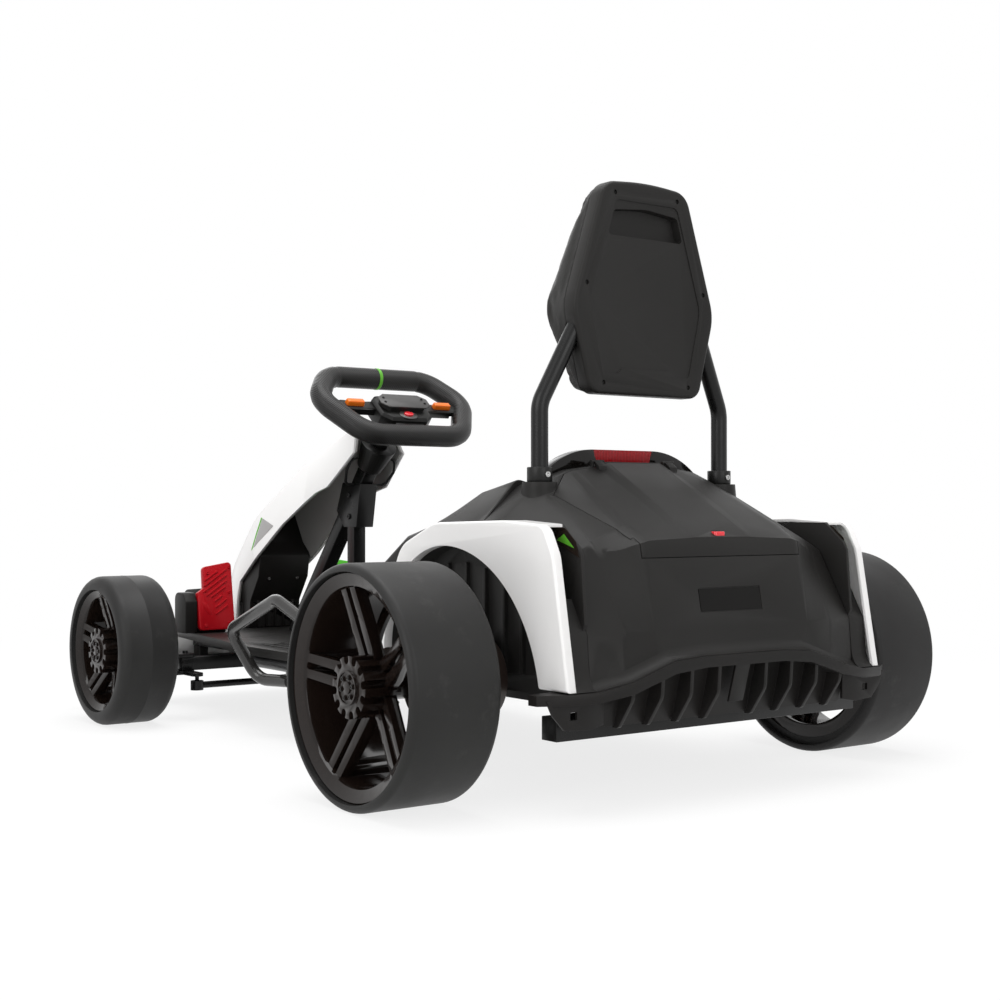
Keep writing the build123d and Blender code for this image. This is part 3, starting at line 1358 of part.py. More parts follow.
# Front bumper: a white swept-back wing over a black splitter
wing_half = front_wheel_inner_y + 52
wing_tip_x = nose_x - 60
splitter_thick = 14
with BuildPart() as front_bumper:
    with BuildSketch(Plane.XY.offset(bumper_bottom)):
        with BuildLine():
            ThreePointArc((wing_tip_x, wing_half), (nose_x, 0), (wing_tip_x, -wing_half))
            Line((wing_tip_x, -wing_half), (wing_tip_x - 12, -wing_half + 8))
            ThreePointArc((wing_tip_x - 12, -wing_half + 8), (nose_x - 44, 0),
                          (wing_tip_x - 12, wing_half - 8))
            Line((wing_tip_x - 12, wing_half - 8), (wing_tip_x, wing_half))
        make_face()
    extrude(amount=bumper_top - bumper_bottom)
    chamfer(front_bumper.faces().sort_by(Axis.Z)[-1].edges(), 3)
keep(front_bumper, "front_bumper")
with BuildPart() as front_splitter:
    with BuildSketch(Plane.XY.offset(bumper_bottom - splitter_thick)) as blade:
        with BuildLine():
            ThreePointArc((wing_tip_x + 4, wing_half - 12), (nose_x - 4, 0),
                          (wing_tip_x + 4, -wing_half + 12))
            Polyline((wing_tip_x + 4, -wing_half + 12), (wing_tip_x - 12, -wing_half + 20),
                     (pan_notch_x, -rail_y - 30), (pan_notch_x, rail_y + 30),
                     (wing_tip_x - 12, wing_half - 20), (wing_tip_x + 4, wing_half - 12))
        make_face()
    extrude(blade.sketch, amount=splitter_thick)
    with BuildSketch(Plane.XY.offset(bumper_bottom)) as rail_seats:
        for side in (1, -1):
            with Locations((rail_front_x - 14, side * rail_y)):
                Rectangle(24, rail_size)
    extrude(rail_seats.sketch, amount=rail_bottom - bumper_bottom)
keep(front_splitter, "front_splitter")

# Pedals: ribbed plates on pivot blocks beside the nose
pedal_y = rail_y + 20
pedal_x = front_x + 74
pedal_low = 141
pedal_high = 230
pedal_width = 56
pedal_thick = 9
pedal_lean = radians(8)
pedal_plane = Plane(origin=(pedal_x, pedal_y, pedal_low), x_dir=(0, 1, 0),
                    z_dir=(-cos(pedal_lean), 0, sin(pedal_lean)))
pedal_up = -1 if pedal_plane.y_dir.Z < 0 else 1
pedal_height = pedal_high - pedal_low
tread_bars = 7
with BuildPart() as pedal:
    with BuildSketch(pedal_plane) as plate_outline:
        with Locations((0, pedal_up * pedal_height / 2)):
            RectangleRounded(pedal_width, pedal_height, 6)
    extrude(plate_outline.sketch, amount=-pedal_thick)
    with BuildSketch(pedal_plane) as tread:
        with Locations((0, pedal_up * 15)):
            SlotOverall(34, 12)
            SlotOverall(28, 6, mode=Mode.SUBTRACT)
        for row in range(tread_bars):
            with Locations((4, pedal_up * (30 + row * 8))):
                SlotOverall(34, 3.4, rotation=-pedal_up * 38)
    extrude(tread.sketch, amount=1.6)
for side_name, side in (("red", 1), ("green", -1)):
    with BuildPart() as placed_pedal:
        add(pedal.part)
        if side < 0:
            mirror(about=Plane.XZ, mode=Mode.REPLACE)
    keep(placed_pedal, f"pedal_{side_name}")
# Behind each pedal: its pivot block, a round pivot boss and a grey-black housing beside it
pivot_half = 22
with BuildPart() as pedal_mounts:
    with BuildSketch(Plane.XZ.offset(-(pedal_y - pivot_half))) as block:
        with BuildLine():
            back_x = pedal_x + pedal_thick / cos(pedal_lean) + seat_gap
            FilletPolyline((back_x, floor_top), (back_x, pedal_low),
                           (back_x + (190 - pedal_low) * tan(pedal_lean), 190), (pedal_x + 72, 186),
                           (pedal_x + 86, 150), (pedal_x + 86, floor_top),
                           radius=[0, 0, 0, 16, 12, 0], close=True)
        make_face()
    extrude(block.sketch, amount=-2 * pivot_half)
    with BuildSketch(Plane.XZ.offset(-(pedal_y + pivot_half))) as boss:
        with Locations((pedal_x + 50, 150)):
            RectangleRounded(22, 40, 5)
    extrude(boss.sketch, amount=-(31 - pivot_half))
    with BuildSketch(Plane.XZ.offset(-(pedal_y + 31))) as housing:
        with BuildLine():
            FilletPolyline((pedal_x + 4, floor_top), (pedal_x + 4, 170), (pedal_x + 14, 184),
                           (pedal_x + 46, 184), (pedal_x + 46, floor_top),
                           radius=[0, 6, 8, 12, 0], close=True)
        make_face()
    extrude(housing.sketch, amount=-20)
    mirror(about=Plane.XZ)
keep(pedal_mounts, "pedal_mounts")
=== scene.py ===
# %% [markdown]
# # A child's electric drift kart
# The real thing is a low plastic and steel toy vehicle: blow-moulded black body panels, glossy white
# fenders and nose, slick foam tyres on glossy rims, and a small padded backrest on two bent tubes.
# The CAD model gives every piece its size and place. This file gives each one its rounded edges, its
# material and the small details that a mould and a workshop leave behind.

# %% Load the frame
import json
import bpy
from math import cos, pi, radians, sin, tan
from mathutils import Matrix, Vector


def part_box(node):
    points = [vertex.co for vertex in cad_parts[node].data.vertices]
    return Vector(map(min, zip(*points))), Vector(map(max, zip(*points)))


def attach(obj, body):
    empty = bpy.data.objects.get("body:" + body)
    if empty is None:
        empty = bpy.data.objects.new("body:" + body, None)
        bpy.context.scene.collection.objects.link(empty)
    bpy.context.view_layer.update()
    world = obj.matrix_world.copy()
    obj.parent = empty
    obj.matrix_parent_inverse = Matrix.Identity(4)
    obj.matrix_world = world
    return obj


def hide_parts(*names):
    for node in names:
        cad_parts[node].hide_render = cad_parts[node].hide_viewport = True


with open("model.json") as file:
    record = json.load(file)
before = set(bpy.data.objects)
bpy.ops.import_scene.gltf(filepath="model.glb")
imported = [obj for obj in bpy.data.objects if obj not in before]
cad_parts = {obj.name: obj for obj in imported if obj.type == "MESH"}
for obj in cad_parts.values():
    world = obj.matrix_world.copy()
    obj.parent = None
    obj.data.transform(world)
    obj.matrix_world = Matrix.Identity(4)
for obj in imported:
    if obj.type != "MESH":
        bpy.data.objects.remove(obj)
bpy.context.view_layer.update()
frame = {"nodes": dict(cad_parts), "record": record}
MM = 0.001
REAR_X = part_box("rear_axle")[0].x + 8 * MM
FRONT_X = REAR_X + 776 * MM
BODY_OF = {name: body for body, names in frame["record"]["behaviour"]["bodies"].items() for name in names}
print("nodes in the frame:", len(frame["nodes"]))


# %% [markdown]
# ## The camera
# The photograph was taken with a long lens from behind and to the left of the kart, with the camera at
# about the height of the boot lid. The place and angle were worked out from the wheels and posts.

# %% Camera
CAMERA_PLACE = Vector((-1.3735 + REAR_X, 1.2175, 0.3155))
CAMERA_YAW = radians(36.565)
CAMERA_PITCH = radians(0.361)
camera_data = bpy.data.cameras.new("viewpoint")
camera_data.sensor_width = 36
camera_data.lens = 55.03
camera = bpy.data.objects.new("viewpoint", camera_data)
bpy.context.scene.collection.objects.link(camera)
look = Vector((cos(CAMERA_YAW) * cos(CAMERA_PITCH),
               -sin(CAMERA_YAW) * cos(CAMERA_PITCH),
               sin(CAMERA_PITCH)))
camera.location = CAMERA_PLACE
camera.rotation_euler = look.to_track_quat("-Z", "Y").to_euler()
bpy.context.scene.camera = camera
print("camera looks along", [round(part, 3) for part in look])


# %% [markdown]
# ## Material helpers
# Colours are written as the sRGB hex values that an eye would read off the object. Blender's shader
# works in linear light, so one function turns them. A second small function adds a node, and sets or
# links its sockets, which keeps each material short enough to read as a recipe.

# %% Colour and node helpers
def linear(hex_colour):
    parts = [int(hex_colour[i:i + 2], 16) / 255 for i in (0, 2, 4)]
    return [part / 12.92 if part < 0.04045 else ((part + 0.055) / 1.055) ** 2.4 for part in parts] + [1.0]


def node(tree, kind, settings=None, **sockets):
    """Add a node. A socket is named by its words joined with _, or by i and its number."""
    made = tree.nodes.new("ShaderNode" + kind)
    for name, value in (settings or {}).items():
        setattr(made, name, value)
    for name, value in sockets.items():
        numbered = name[0] == "i" and name[1:].isdigit()
        socket = made.inputs[int(name[1:]) if numbered else name.replace("_", " ")]
        if isinstance(value, bpy.types.NodeSocket):
            tree.links.new(value, socket)
        else:
            socket.default_value = value
    return made


def start_material(name, roughness, coat=0.0, metallic=0.0, specular=0.5):
    material = bpy.data.materials.new(name)
    material.use_nodes = True
    tree = material.node_tree
    shader = tree.nodes["Principled BSDF"]
    shader.inputs["Roughness"].default_value = roughness
    shader.inputs["Metallic"].default_value = metallic
    shader.inputs["Coat Weight"].default_value = coat
    shader.inputs["Coat Roughness"].default_value = 0.06
    shader.inputs["Specular IOR Level"].default_value = specular
    place = node(tree, "TexCoord").outputs["Object"]
    return material, tree, shader, place


def mottle(tree, place, low, high, scale, detail=3.0):
    """A slow drift between two close colours, from noise of a given scale."""
    drift = node(tree, "TexNoise", Vector=place, Scale=scale, Detail=detail)
    ramp = node(tree, "ValToRGB", Fac=drift.outputs["Fac"])
    first, last = ramp.color_ramp.elements
    first.position, last.position = 0.35, 0.65
    first.color, last.color = linear(low), linear(high)
    return ramp.outputs["Color"]


def grain(tree, shader, place, scale, depth, detail=2.0):
    """Moulding grain: fine bump, its depth in metres."""
    pattern = node(tree, "TexNoise", Vector=place, Scale=scale, Detail=detail)
    bump = node(tree, "Bump", Strength=1.0, Distance=depth, Height=pattern.outputs["Fac"])
    tree.links.new(bump.outputs["Normal"], shader.inputs["Normal"])


def vary_roughness(tree, shader, place, low, high, scale):
    """Patches a little duller or shinier than the rest, as handling and the mould leave them."""
    patch = node(tree, "TexNoise", Vector=place, Scale=scale, Detail=4.0)
    spread = node(tree, "MapRange", Value=patch.outputs["Fac"], From_Min=0.3, From_Max=0.7,
                  To_Min=low, To_Max=high)
    tree.links.new(spread.outputs["Result"], shader.inputs["Roughness"])


# %% [markdown]
# ## Moulded plastics
# The body is black polypropylene, blow moulded in a textured tool: a grain of about half a millimetre
# breaks the light into a soft sheen. The white panels are ABS, injection moulded in a polished tool, so
# their colour is even and the gloss is broad. A real moulding is never one exact shade, so each base
# colour drifts a little. The grain traps light, so the black panels reflect less than a smooth one.

# %% Moulded plastics
def moulded(name, low, high, roughness, spread, grain_scale, grain_depth, coat=0.0, specular=0.5):
    material, tree, shader, place = start_material(name, roughness, coat, specular=specular)
    tree.links.new(mottle(tree, place, low, high, 7.0), shader.inputs["Base Color"])
    vary_roughness(tree, shader, place, roughness - spread, roughness + spread, 14.0)
    grain(tree, shader, place, grain_scale, grain_depth)
    return material


# Name, two shades, roughness and its spread, grain per metre, grain depth
grained_black = moulded("polypropylene_grained_black", "1b1a19", "201f1e", 0.47, 0.04, 1500.0, 0.00007,
                        specular=0.18)
smooth_black = moulded("abs_polished_black", "0e0c0b", "13100e", 0.12, 0.03, 60.0, 0.00002,
                       coat=0.12, specular=0.22)
satin_black = moulded("polypropylene_satin_black", "121211", "171716", 0.36, 0.05, 900.0, 0.00004,
                      specular=0.25)
rim_gloss = moulded("nylon_polished_black", "16100d", "1b1411", 0.13, 0.02, 60.0, 0.00002,
                    coat=0.12, specular=0.24)
cover_black = moulded("abs_pad_cover_black", "393837", "3d3c3b", 0.4, 0.04, 900.0, 0.00004, specular=0.45)
white_gloss = moulded("abs_polished_white", "e3e2e1", "e4e3e2", 0.3, 0.0, 900.0, 0.000004, coat=0.1)
liner_grey = moulded("polypropylene_grained_grey", "939290", "999896", 0.5, 0.05, 1300.0, 0.00008)
housing_black = moulded("polypropylene_housing_black", "151413", "1a1817", 0.44, 0.06, 800.0, 0.00005,
                        specular=0.18)
brown_black = moulded("nylon_brown_black", "2a2320", "332a26", 0.35, 0.05, 500.0, 0.00004, specular=0.4)
red_moulding = moulded("abs_satin_red", "ab0a17", "b30d1a", 0.34, 0.04, 500.0, 0.00003,
                       coat=0.04, specular=0.18)
green_moulding = moulded("abs_satin_green", "45b414", "4dbd1a", 0.3, 0.04, 500.0, 0.00003,
                         coat=0.1, specular=0.35)
orange_moulding = moulded("abs_satin_orange", "ea6a10", "f07818", 0.3, 0.04, 500.0, 0.00003,
                          coat=0.1, specular=0.4)
red_button = moulded("abs_button_red", "d4202c", "de2a34", 0.25, 0.03, 400.0, 0.00002, coat=0.2)
bezel_grey = moulded("abs_bezel_grey", "3f3d3c", "474543", 0.3, 0.03, 400.0, 0.00002)
film_black = moulded("pvc_film_black", "0d0c0b", "100f0e", 0.3, 0.03, 300.0, 0.00001, specular=0.12)
film_brown = moulded("pvc_film_brown_black", "1e1713", "231b17", 0.26, 0.03, 300.0, 0.00001,
                     specular=0.25)
film_green = moulded("pvc_film_green", "5aa82e", "60b034", 0.35, 0.03, 300.0, 0.00001, specular=0.3)
film_grey = moulded("pvc_film_grey", "8c8a89", "939190", 0.35, 0.03, 300.0, 0.00001)
print("moulded finishes:", len([material for material in bpy.data.materials if material.users == 0]))


# %% [markdown]
# ## Lamp lens
# The tail lamp is a clear red acrylic moulding with fine vertical prisms on its inside. The light and shade
# that the prisms catch is painted into its colour as stripes of lighter and darker red. The stripes are 2.4
# mm apart, so one sine wave across the kart gives both this painted shading and their relief.

# %% Lens red
PRISM_PITCH = 2.4 * MM
lens_red, tree, shader, place = start_material("acrylic_red_painted_prism_shading", 0.18, specular=0.16)
across = node(tree, "SeparateXYZ", Vector=place).outputs["Y"]
phase = node(tree, "Math", {"operation": "MULTIPLY"}, i0=across, i1=2 * pi / PRISM_PITCH)
wave = node(tree, "Math", {"operation": "SINE"}, i0=phase.outputs[0]).outputs[0]
share = node(tree, "MapRange", Value=wave, From_Min=-1.0, From_Max=1.0).outputs["Result"]
# Painted light and shade of the prisms: lighter and darker red stripes that follow the sine wave
ramp = node(tree, "ValToRGB", Fac=share)
ramp.color_ramp.elements[0].color, ramp.color_ramp.elements[1].color = linear("74040c"), linear("ad0a16")
tree.links.new(ramp.outputs["Color"], shader.inputs["Base Color"])
prisms = node(tree, "Bump", Strength=1.0, Distance=0.0002, Height=wave)
tree.links.new(prisms.outputs["Normal"], shader.inputs["Normal"])
LENS_WIDTH = 100 * MM
print("prisms across the lens:", round(LENS_WIDTH / PRISM_PITCH))


# %% [markdown]
# ## Tyre foam
# The slick tyre is moulded EVA foam: a dull dark grey with a skin that shines a little at a flat angle,
# and that scuffs to a lighter grey in soft patches. Noise with a high threshold picks out the scuffs.

# %% Tyre foam
foam_black, tree, shader, place = start_material("eva_foam_black", 0.5, specular=0.26)
base = mottle(tree, place, "1a1919", "1f1f1e", 5.0)
scuff = node(tree, "TexNoise", Vector=place, Scale=16.0, Detail=6.0, Roughness=0.7)
mask = node(tree, "MapRange", Value=scuff.outputs["Fac"], From_Min=0.58, From_Max=0.8)
scuffed = node(tree, "Mix", {"data_type": "RGBA"}, i0=mask.outputs["Result"], i6=base, i7=linear("343332"))
tree.links.new(scuffed.outputs[2], shader.inputs["Base Color"])
vary_roughness(tree, shader, place, 0.44, 0.58, 12.0)
grain(tree, shader, place, 1100.0, 0.00006)
print("tyre finish:", foam_black.name)


# %% [markdown]
# ## Woven look
# The steering grip is soft vinyl and the sill covers are film, and both are printed and embossed like
# a carbon twill: diagonal ribs, which step sideways from one band to the next. The wheel leans at 40
# degrees, so a Mapping node turns the pattern to lie along it. A real tow is 2 mm wide. The ribs are
# drawn 3.6 mm apart, so that they still show in the render.

# %% Twill
RIB_PITCH = 3.6 * MM


def twill(name, low, high, roughness, lean, depth=0.00025, specular=0.4):
    material, tree, shader, place = start_material(name, roughness, coat=0.05, specular=specular)
    turned = node(tree, "Mapping", Vector=place, Rotation=(0, lean, 0))
    axes = node(tree, "SeparateXYZ", Vector=turned.outputs["Vector"])
    diagonal = node(tree, "Math", {"operation": "ADD"}, i0=axes.outputs["Y"], i1=axes.outputs["X"])
    slanted = node(tree, "Math", {"operation": "ADD"}, i0=diagonal.outputs[0], i1=axes.outputs["Z"])
    phase = node(tree, "Math", {"operation": "MULTIPLY"}, i0=slanted.outputs[0], i1=2 * pi / RIB_PITCH)
    wave = node(tree, "Math", {"operation": "SINE"}, i0=phase.outputs[0]).outputs[0]
    share = node(tree, "MapRange", Value=wave, From_Min=-1.0, From_Max=1.0).outputs["Result"]
    ribs = node(tree, "ValToRGB", Fac=share)
    ribs.color_ramp.elements[0].color, ribs.color_ramp.elements[1].color = linear(low), linear(high)
    tree.links.new(ribs.outputs["Color"], shader.inputs["Base Color"])
    bump = node(tree, "Bump", Strength=0.6, Distance=depth, Height=wave)
    tree.links.new(bump.outputs["Normal"], shader.inputs["Normal"])
    return material


grip_twill = twill("vinyl_twill_emboss", "0e0d0d", "1c1b1a", 0.4, radians(40), specular=0.3)
sill_twill = twill("pvc_carbon_twill_film", "1a1a1a", "39393a", 0.28, 0.0)
print("ribs per 10 cm:", round(0.1 / RIB_PITCH))


# %% [markdown]
# ## Padded vinyl
# The backrest pad and the cushion are foam under soft vinyl. Its leather grain is a pattern of cells
# about 1.5 mm wide, shallow and rounded, which Voronoi distance gives, with a soft sheen.

# %% Padded vinyl
vinyl_black, tree, shader, place = start_material("vinyl_leather_grain_black", 0.46, specular=0.2)
tree.links.new(mottle(tree, place, "1c1b1a", "232221", 9.0), shader.inputs["Base Color"])
vary_roughness(tree, shader, place, 0.42, 0.52, 20.0)
cells = node(tree, "TexVoronoi", {"feature": "F1"}, Vector=place, Scale=650.0)
bump = node(tree, "Bump", Strength=0.5, Distance=0.0003, Height=cells.outputs["Distance"])
tree.links.new(bump.outputs["Normal"], shader.inputs["Normal"])
print("padding finish:", vinyl_black.name)


# %% [markdown]
# ## Metals
# The tubes are mild steel, powder coated satin black: the coat flows out with a faint orange peel of
# about 2 mm, and it is a plastic skin, so it isn't metallic in the shader. Bolts and the rear shaft are
# bare zinc plate, so they are.

# %% Metals
tube_black, tree, shader, place = start_material("steel_powder_coated_black", 0.3, specular=0.26)
tree.links.new(mottle(tree, place, "101010", "141414", 12.0), shader.inputs["Base Color"])
vary_roughness(tree, shader, place, 0.25, 0.36, 25.0)
grain(tree, shader, place, 420.0, 0.00005)

zinc, tree, shader, place = start_material("steel_zinc_plated", 0.3, metallic=1.0)
tree.links.new(mottle(tree, place, "a3a3a2", "c4c4c3", 80.0), shader.inputs["Base Color"])
vary_roughness(tree, shader, place, 0.22, 0.38, 120.0)

guard_black, tree, shader, place = start_material("steel_gloss_coated_black", 0.2, coat=0.25, specular=0.45)
tree.links.new(mottle(tree, place, "201f1e", "262524", 12.0), shader.inputs["Base Color"])
vary_roughness(tree, shader, place, 0.16, 0.26, 30.0)
grain(tree, shader, place, 420.0, 0.00003)
print("metals:", tube_black.name, zinc.name, guard_black.name)


# %% [markdown]
# ## Floor, backdrop and light
# The photograph is a studio cut-out on white. A pale floor and a bright sky give the same soft, even
# light. The floor shows the camera a white of its own, mixed with the light that falls on it, so that a
# faint shadow stays near the kart. Farther out the floor's own white takes over, and no horizon shows.

# %% Floor and backdrop
bpy.ops.object.select_all(action="DESELECT")
bpy.ops.mesh.primitive_plane_add(size=60, location=(0, 0, 0))
floor = bpy.context.object
floor.name = "studio_floor"
floor_material = bpy.data.materials.new("studio_floor_pale")
floor_material.use_nodes = True
floor_tree = floor_material.node_tree
floor_shader = floor_tree.nodes["Principled BSDF"]
floor_shader.inputs["Base Color"].default_value = linear("f0f0f0")
floor_shader.inputs["Roughness"].default_value = 0.9
floor_shader.inputs["Specular IOR Level"].default_value = 0.1
# How far from the middle the floor's own white begins to take over, and where it has done so, in metres
SHADOW_EDGE = 0.7
WHITE_EDGE = 1.9
rays = node(floor_tree, "LightPath")
mirrored = node(floor_tree, "Math", {"operation": "MAXIMUM"}, i0=rays.outputs["Is Glossy Ray"],
                i1=rays.outputs["Is Transmission Ray"])
watched = node(floor_tree, "Math", {"operation": "MAXIMUM"}, i0=rays.outputs["Is Camera Ray"],
               i1=mirrored.outputs[0])
spot = node(floor_tree, "TexCoord").outputs["Object"]
distance = node(floor_tree, "VectorMath", {"operation": "LENGTH"}, i0=spot).outputs["Value"]
share = node(floor_tree, "MapRange", Value=distance, From_Min=SHADOW_EDGE, From_Max=WHITE_EDGE,
             To_Min=0.8, To_Max=1.0)
seen = node(floor_tree, "Math", {"operation": "MULTIPLY"}, i0=watched.outputs[0],
            i1=share.outputs["Result"])
glow = node(floor_tree, "Emission", Color=(1, 1, 1, 1), Strength=1.0)
floor_mix = node(floor_tree, "MixShader", i0=seen.outputs[0], i1=floor_shader.outputs["BSDF"],
                 i2=glow.outputs["Emission"])
floor_out = floor_tree.nodes["Material Output"]
floor_tree.links.new(floor_mix.outputs["Shader"], floor_out.inputs["Surface"])
floor.data.materials.append(floor_material)
print("floor size:", [round(part) for part in floor.dimensions[:2]])

# %% World
world = bpy.data.worlds.new("studio_sky")
bpy.context.scene.world = world
world.use_nodes = True
world_tree = world.node_tree
world_tree.nodes.clear()
sky_rays = node(world_tree, "LightPath")
seen_white = node(world_tree, "Background", Color=(1, 1, 1, 1), Strength=1.0)
soft_fill = node(world_tree, "Background", Color=(1, 1, 1, 1), Strength=0.6)
clear = node(world_tree, "Math", {"operation": "MAXIMUM"}, i0=sky_rays.outputs["Is Camera Ray"],
             i1=sky_rays.outputs["Is Transmission Ray"])
direct = node(world_tree, "Math", {"operation": "MAXIMUM"}, i0=clear.outputs[0],
              i1=sky_rays.outputs["Is Glossy Ray"])
sky_mix = node(world_tree, "MixShader", i0=direct.outputs[0], i1=soft_fill.outputs[0],
               i2=seen_white.outputs[0])
world_out = node(world_tree, "OutputWorld")
world_tree.links.new(sky_mix.outputs[0], world_out.inputs["Surface"])

# %% Lamps
# The lamps all face the middle of the kart
KART_MIDDLE = Vector((0, 0, 0.25))
# Name, place, size, power in watts
lamp_rows = (
    ("softbox_top", (-0.2, 0.2, 3.0), 2.4, 70),
    ("softbox_left", (-1.0, 3.4, 1.7), 2.2, 44),
    ("softbox_rear", (-3.6, 0.2, 1.4), 1.8, 22),
    ("softbox_front", (3.4, -1.0, 2.2), 2.2, 18),
)
for lamp_name, lamp_place, lamp_size, power in lamp_rows:
    lamp_data = bpy.data.lights.new(lamp_name, "AREA")
    lamp_data.size = lamp_size
    lamp_data.energy = power
    lamp = bpy.data.objects.new(lamp_name, lamp_data)
    lamp.location = lamp_place
    lamp.rotation_euler = (KART_MIDDLE - Vector(lamp_place)).to_track_quat("-Z", "Y").to_euler()
    bpy.context.scene.collection.objects.link(lamp)
bpy.context.scene.view_settings.view_transform = "Standard"
print("lamps:", len(lamp_rows), "total watts:", sum(row[3] for row in lamp_rows))


# %% [markdown]
# ## Modelling helpers
# Most pieces go through the same few hands: one is picked up alone, its modifiers are applied, doubled
# vertices are merged and its faces are turned outwards, and at the end it is given a material and a body
# to ride on. A turned piece starts as a line that is drawn by extruding a single vertex from
# point to point, with arcs at its corners, and is then spun round its axle as on a lathe.

# %% Picking up and finishing
def activate(piece):
    bpy.ops.object.select_all(action="DESELECT")
    piece.select_set(True)
    bpy.context.view_layer.objects.active = piece


def finish_modifiers(piece):
    activate(piece)
    for name in [modifier.name for modifier in piece.modifiers]:
        bpy.ops.object.modifier_apply(modifier=name)


def close_up(piece, distance=0.00001):
    """Merge doubled vertices and turn every face outwards."""
    activate(piece)
    bpy.ops.object.mode_set(mode="EDIT")
    bpy.ops.mesh.select_all(action="SELECT")
    bpy.ops.mesh.remove_doubles(threshold=distance)
    bpy.ops.mesh.normals_make_consistent(inside=False)
    bpy.ops.object.mode_set(mode="OBJECT")


def smooth(piece, angle=32):
    activate(piece)
    bpy.ops.object.shade_smooth_by_angle(angle=radians(angle))


def round_edges(piece, width, angle=28, segments=2):
    bevel = piece.modifiers.new("edge", "BEVEL")
    bevel.width = width * MM
    bevel.segments = segments
    bevel.limit_method = "ANGLE"
    bevel.angle_limit = radians(angle)
    finish_modifiers(piece)


def settle(piece, body, material):
    """Give a finished mesh its material and the body that it rides on."""
    activate(piece)
    bpy.ops.object.transform_apply(location=True, rotation=True, scale=True)
    piece.data.materials.clear()
    piece.data.materials.append(material)
    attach(piece, body)
    return piece


def stand_for(piece, name, material):
    """Settle a piece in the place of the CAD node of that name."""
    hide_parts(name)
    return settle(piece, BODY_OF[name], material)


# %% Lines, arcs and turned pieces
def rounded_line(rows, count=6, closed=True):
    """Points of a line with an arc at each corner. A row is a point and its corner radius in mm."""
    points = [Vector(point) for point, radius in rows]
    line = []
    for number, (point, radius) in enumerate(rows):
        here = points[number]
        if radius == 0 or (not closed and number in (0, len(rows) - 1)):
            line.append(here)
            continue
        back = (points[number - 1] - here).normalized()
        ahead = (points[(number + 1) % len(points)] - here).normalized()
        half = back.angle(ahead) / 2
        reach = radius * MM / tan(half)
        centre = here + (back + ahead).normalized() * radius * MM / sin(half)
        start, end = here + back * reach - centre, here + ahead * reach - centre
        turn = start.angle(end)
        for step in range(count + 1):
            share = step / count
            line.append(centre + (start * sin((1 - share) * turn) + end * sin(share * turn)) / sin(turn))
    return line


def draw_line(name, points):
    """A chain of edges, drawn by extruding one vertex from point to point. Stays in edit mode."""
    bpy.ops.object.select_all(action="DESELECT")
    bpy.ops.mesh.primitive_plane_add(size=MM)
    line = bpy.context.object
    line.name = name
    bpy.ops.object.mode_set(mode="EDIT")
    bpy.ops.mesh.merge(type="CENTER")
    bpy.ops.transform.translate(value=points[0])
    for start, end in zip(points, points[1:]):
        bpy.ops.mesh.extrude_region_move(TRANSFORM_OT_translate={"value": end - start})
    return line


def spin_line(name, points, centre, axis, steps):
    """Draw a closed line and spin it all the way round an axis."""
    piece = draw_line(name, points + [points[0]])
    bpy.ops.mesh.select_all(action="SELECT")
    bpy.ops.mesh.remove_doubles(threshold=0.00001)
    bpy.ops.mesh.spin(steps=steps, angle=2 * pi, center=centre, axis=axis)
    bpy.ops.object.mode_set(mode="OBJECT")
    close_up(piece)
    return piece


# %% [markdown]
# ## Tyres
# Each tyre is a wide foam ring with round shoulders, and a step on both sides for the rim's flanges.
# A front tyre comes out of a two-part mould, which leaves a fine ridge round the middle of its tread.
# A section spun round the axle gives both, and it is rounder than the CAD ring.

# %% Tyres
SIDES = (("left", 1), ("right", -1))
# Distance from the axle, place across the tyre, corner radius, all in mm
rear_section = [(112, 40, 0), (121, 40, 0), (121, 55, 1), (130, 55, 8), (130, -55, 8), (121, -55, 1),
                (121, -46, 0), (112, -46, 0)]
front_section = [(82, 29.5, 0), (89, 29.5, 0), (89, 44.5, 1), (108.7, 44.5, 15), (108.7, 1, 0),
                 (109, 0.4, 0), (109, -0.4, 0), (108.7, -1, 0), (108.7, -44.5, 15), (89, -44.5, 1),
                 (89, -35.5, 0), (82, -35.5, 0)]
# Axle, its place, its height, the tyre's distance from the middle, its section
axle_rows = (("rear", REAR_X, 130, 345, rear_section), ("front", FRONT_X, 109, 318, front_section))
wheel_rows = []
for axle, axle_x, height, middle_y, section in axle_rows:
    for side_name, side in SIDES:
        hub = Vector((axle_x, side * middle_y * MM, height * MM))
        wheel_rows.append((f"{axle}_{side_name}", hub, side))
        rows = [(hub + Vector((0, side * y * MM, r * MM)), radius) for r, y, radius in section]
        tyre = spin_line(f"slick_{axle}_{side_name}", rounded_line(rows), hub, (0, 1, 0), 120)
        smooth(tyre, 40)
        stand_for(tyre, f"tyre_{axle}_{side_name}", foam_black)
        print(tyre.name, "faces:", len(tyre.data.polygons))


# %% [markdown]
# ## Rounding the CAD pieces
# A moulded or bent piece never has a knife edge. The CAD solid does, so a copy of its mesh is merged
# into clean faces, its flat neighbours are dissolved into one, and a bevel of about a millimetre is run
# along every sharp edge, where it catches a line of light. The copy then stands for the CAD node.

# %% Softened copies
def merged_copy(name):
    """A copy of a CAD node with its loose triangles merged into clean faces."""
    source = frame["nodes"][name]
    piece = bpy.data.objects.new(name + "_skin", source.data.copy())
    bpy.context.scene.collection.objects.link(piece)
    activate(piece)
    bpy.ops.object.mode_set(mode="EDIT")
    bpy.ops.mesh.select_all(action="SELECT")
    bpy.ops.mesh.remove_doubles(threshold=0.00001)
    bpy.ops.mesh.dissolve_limited(angle_limit=radians(0.6))
    bpy.ops.object.mode_set(mode="OBJECT")
    return piece


def soften(name, material, width=1.2, angle=32):
    piece = merged_copy(name)
    round_edges(piece, width)
    smooth(piece, angle)
    return stand_for(piece, name, material)


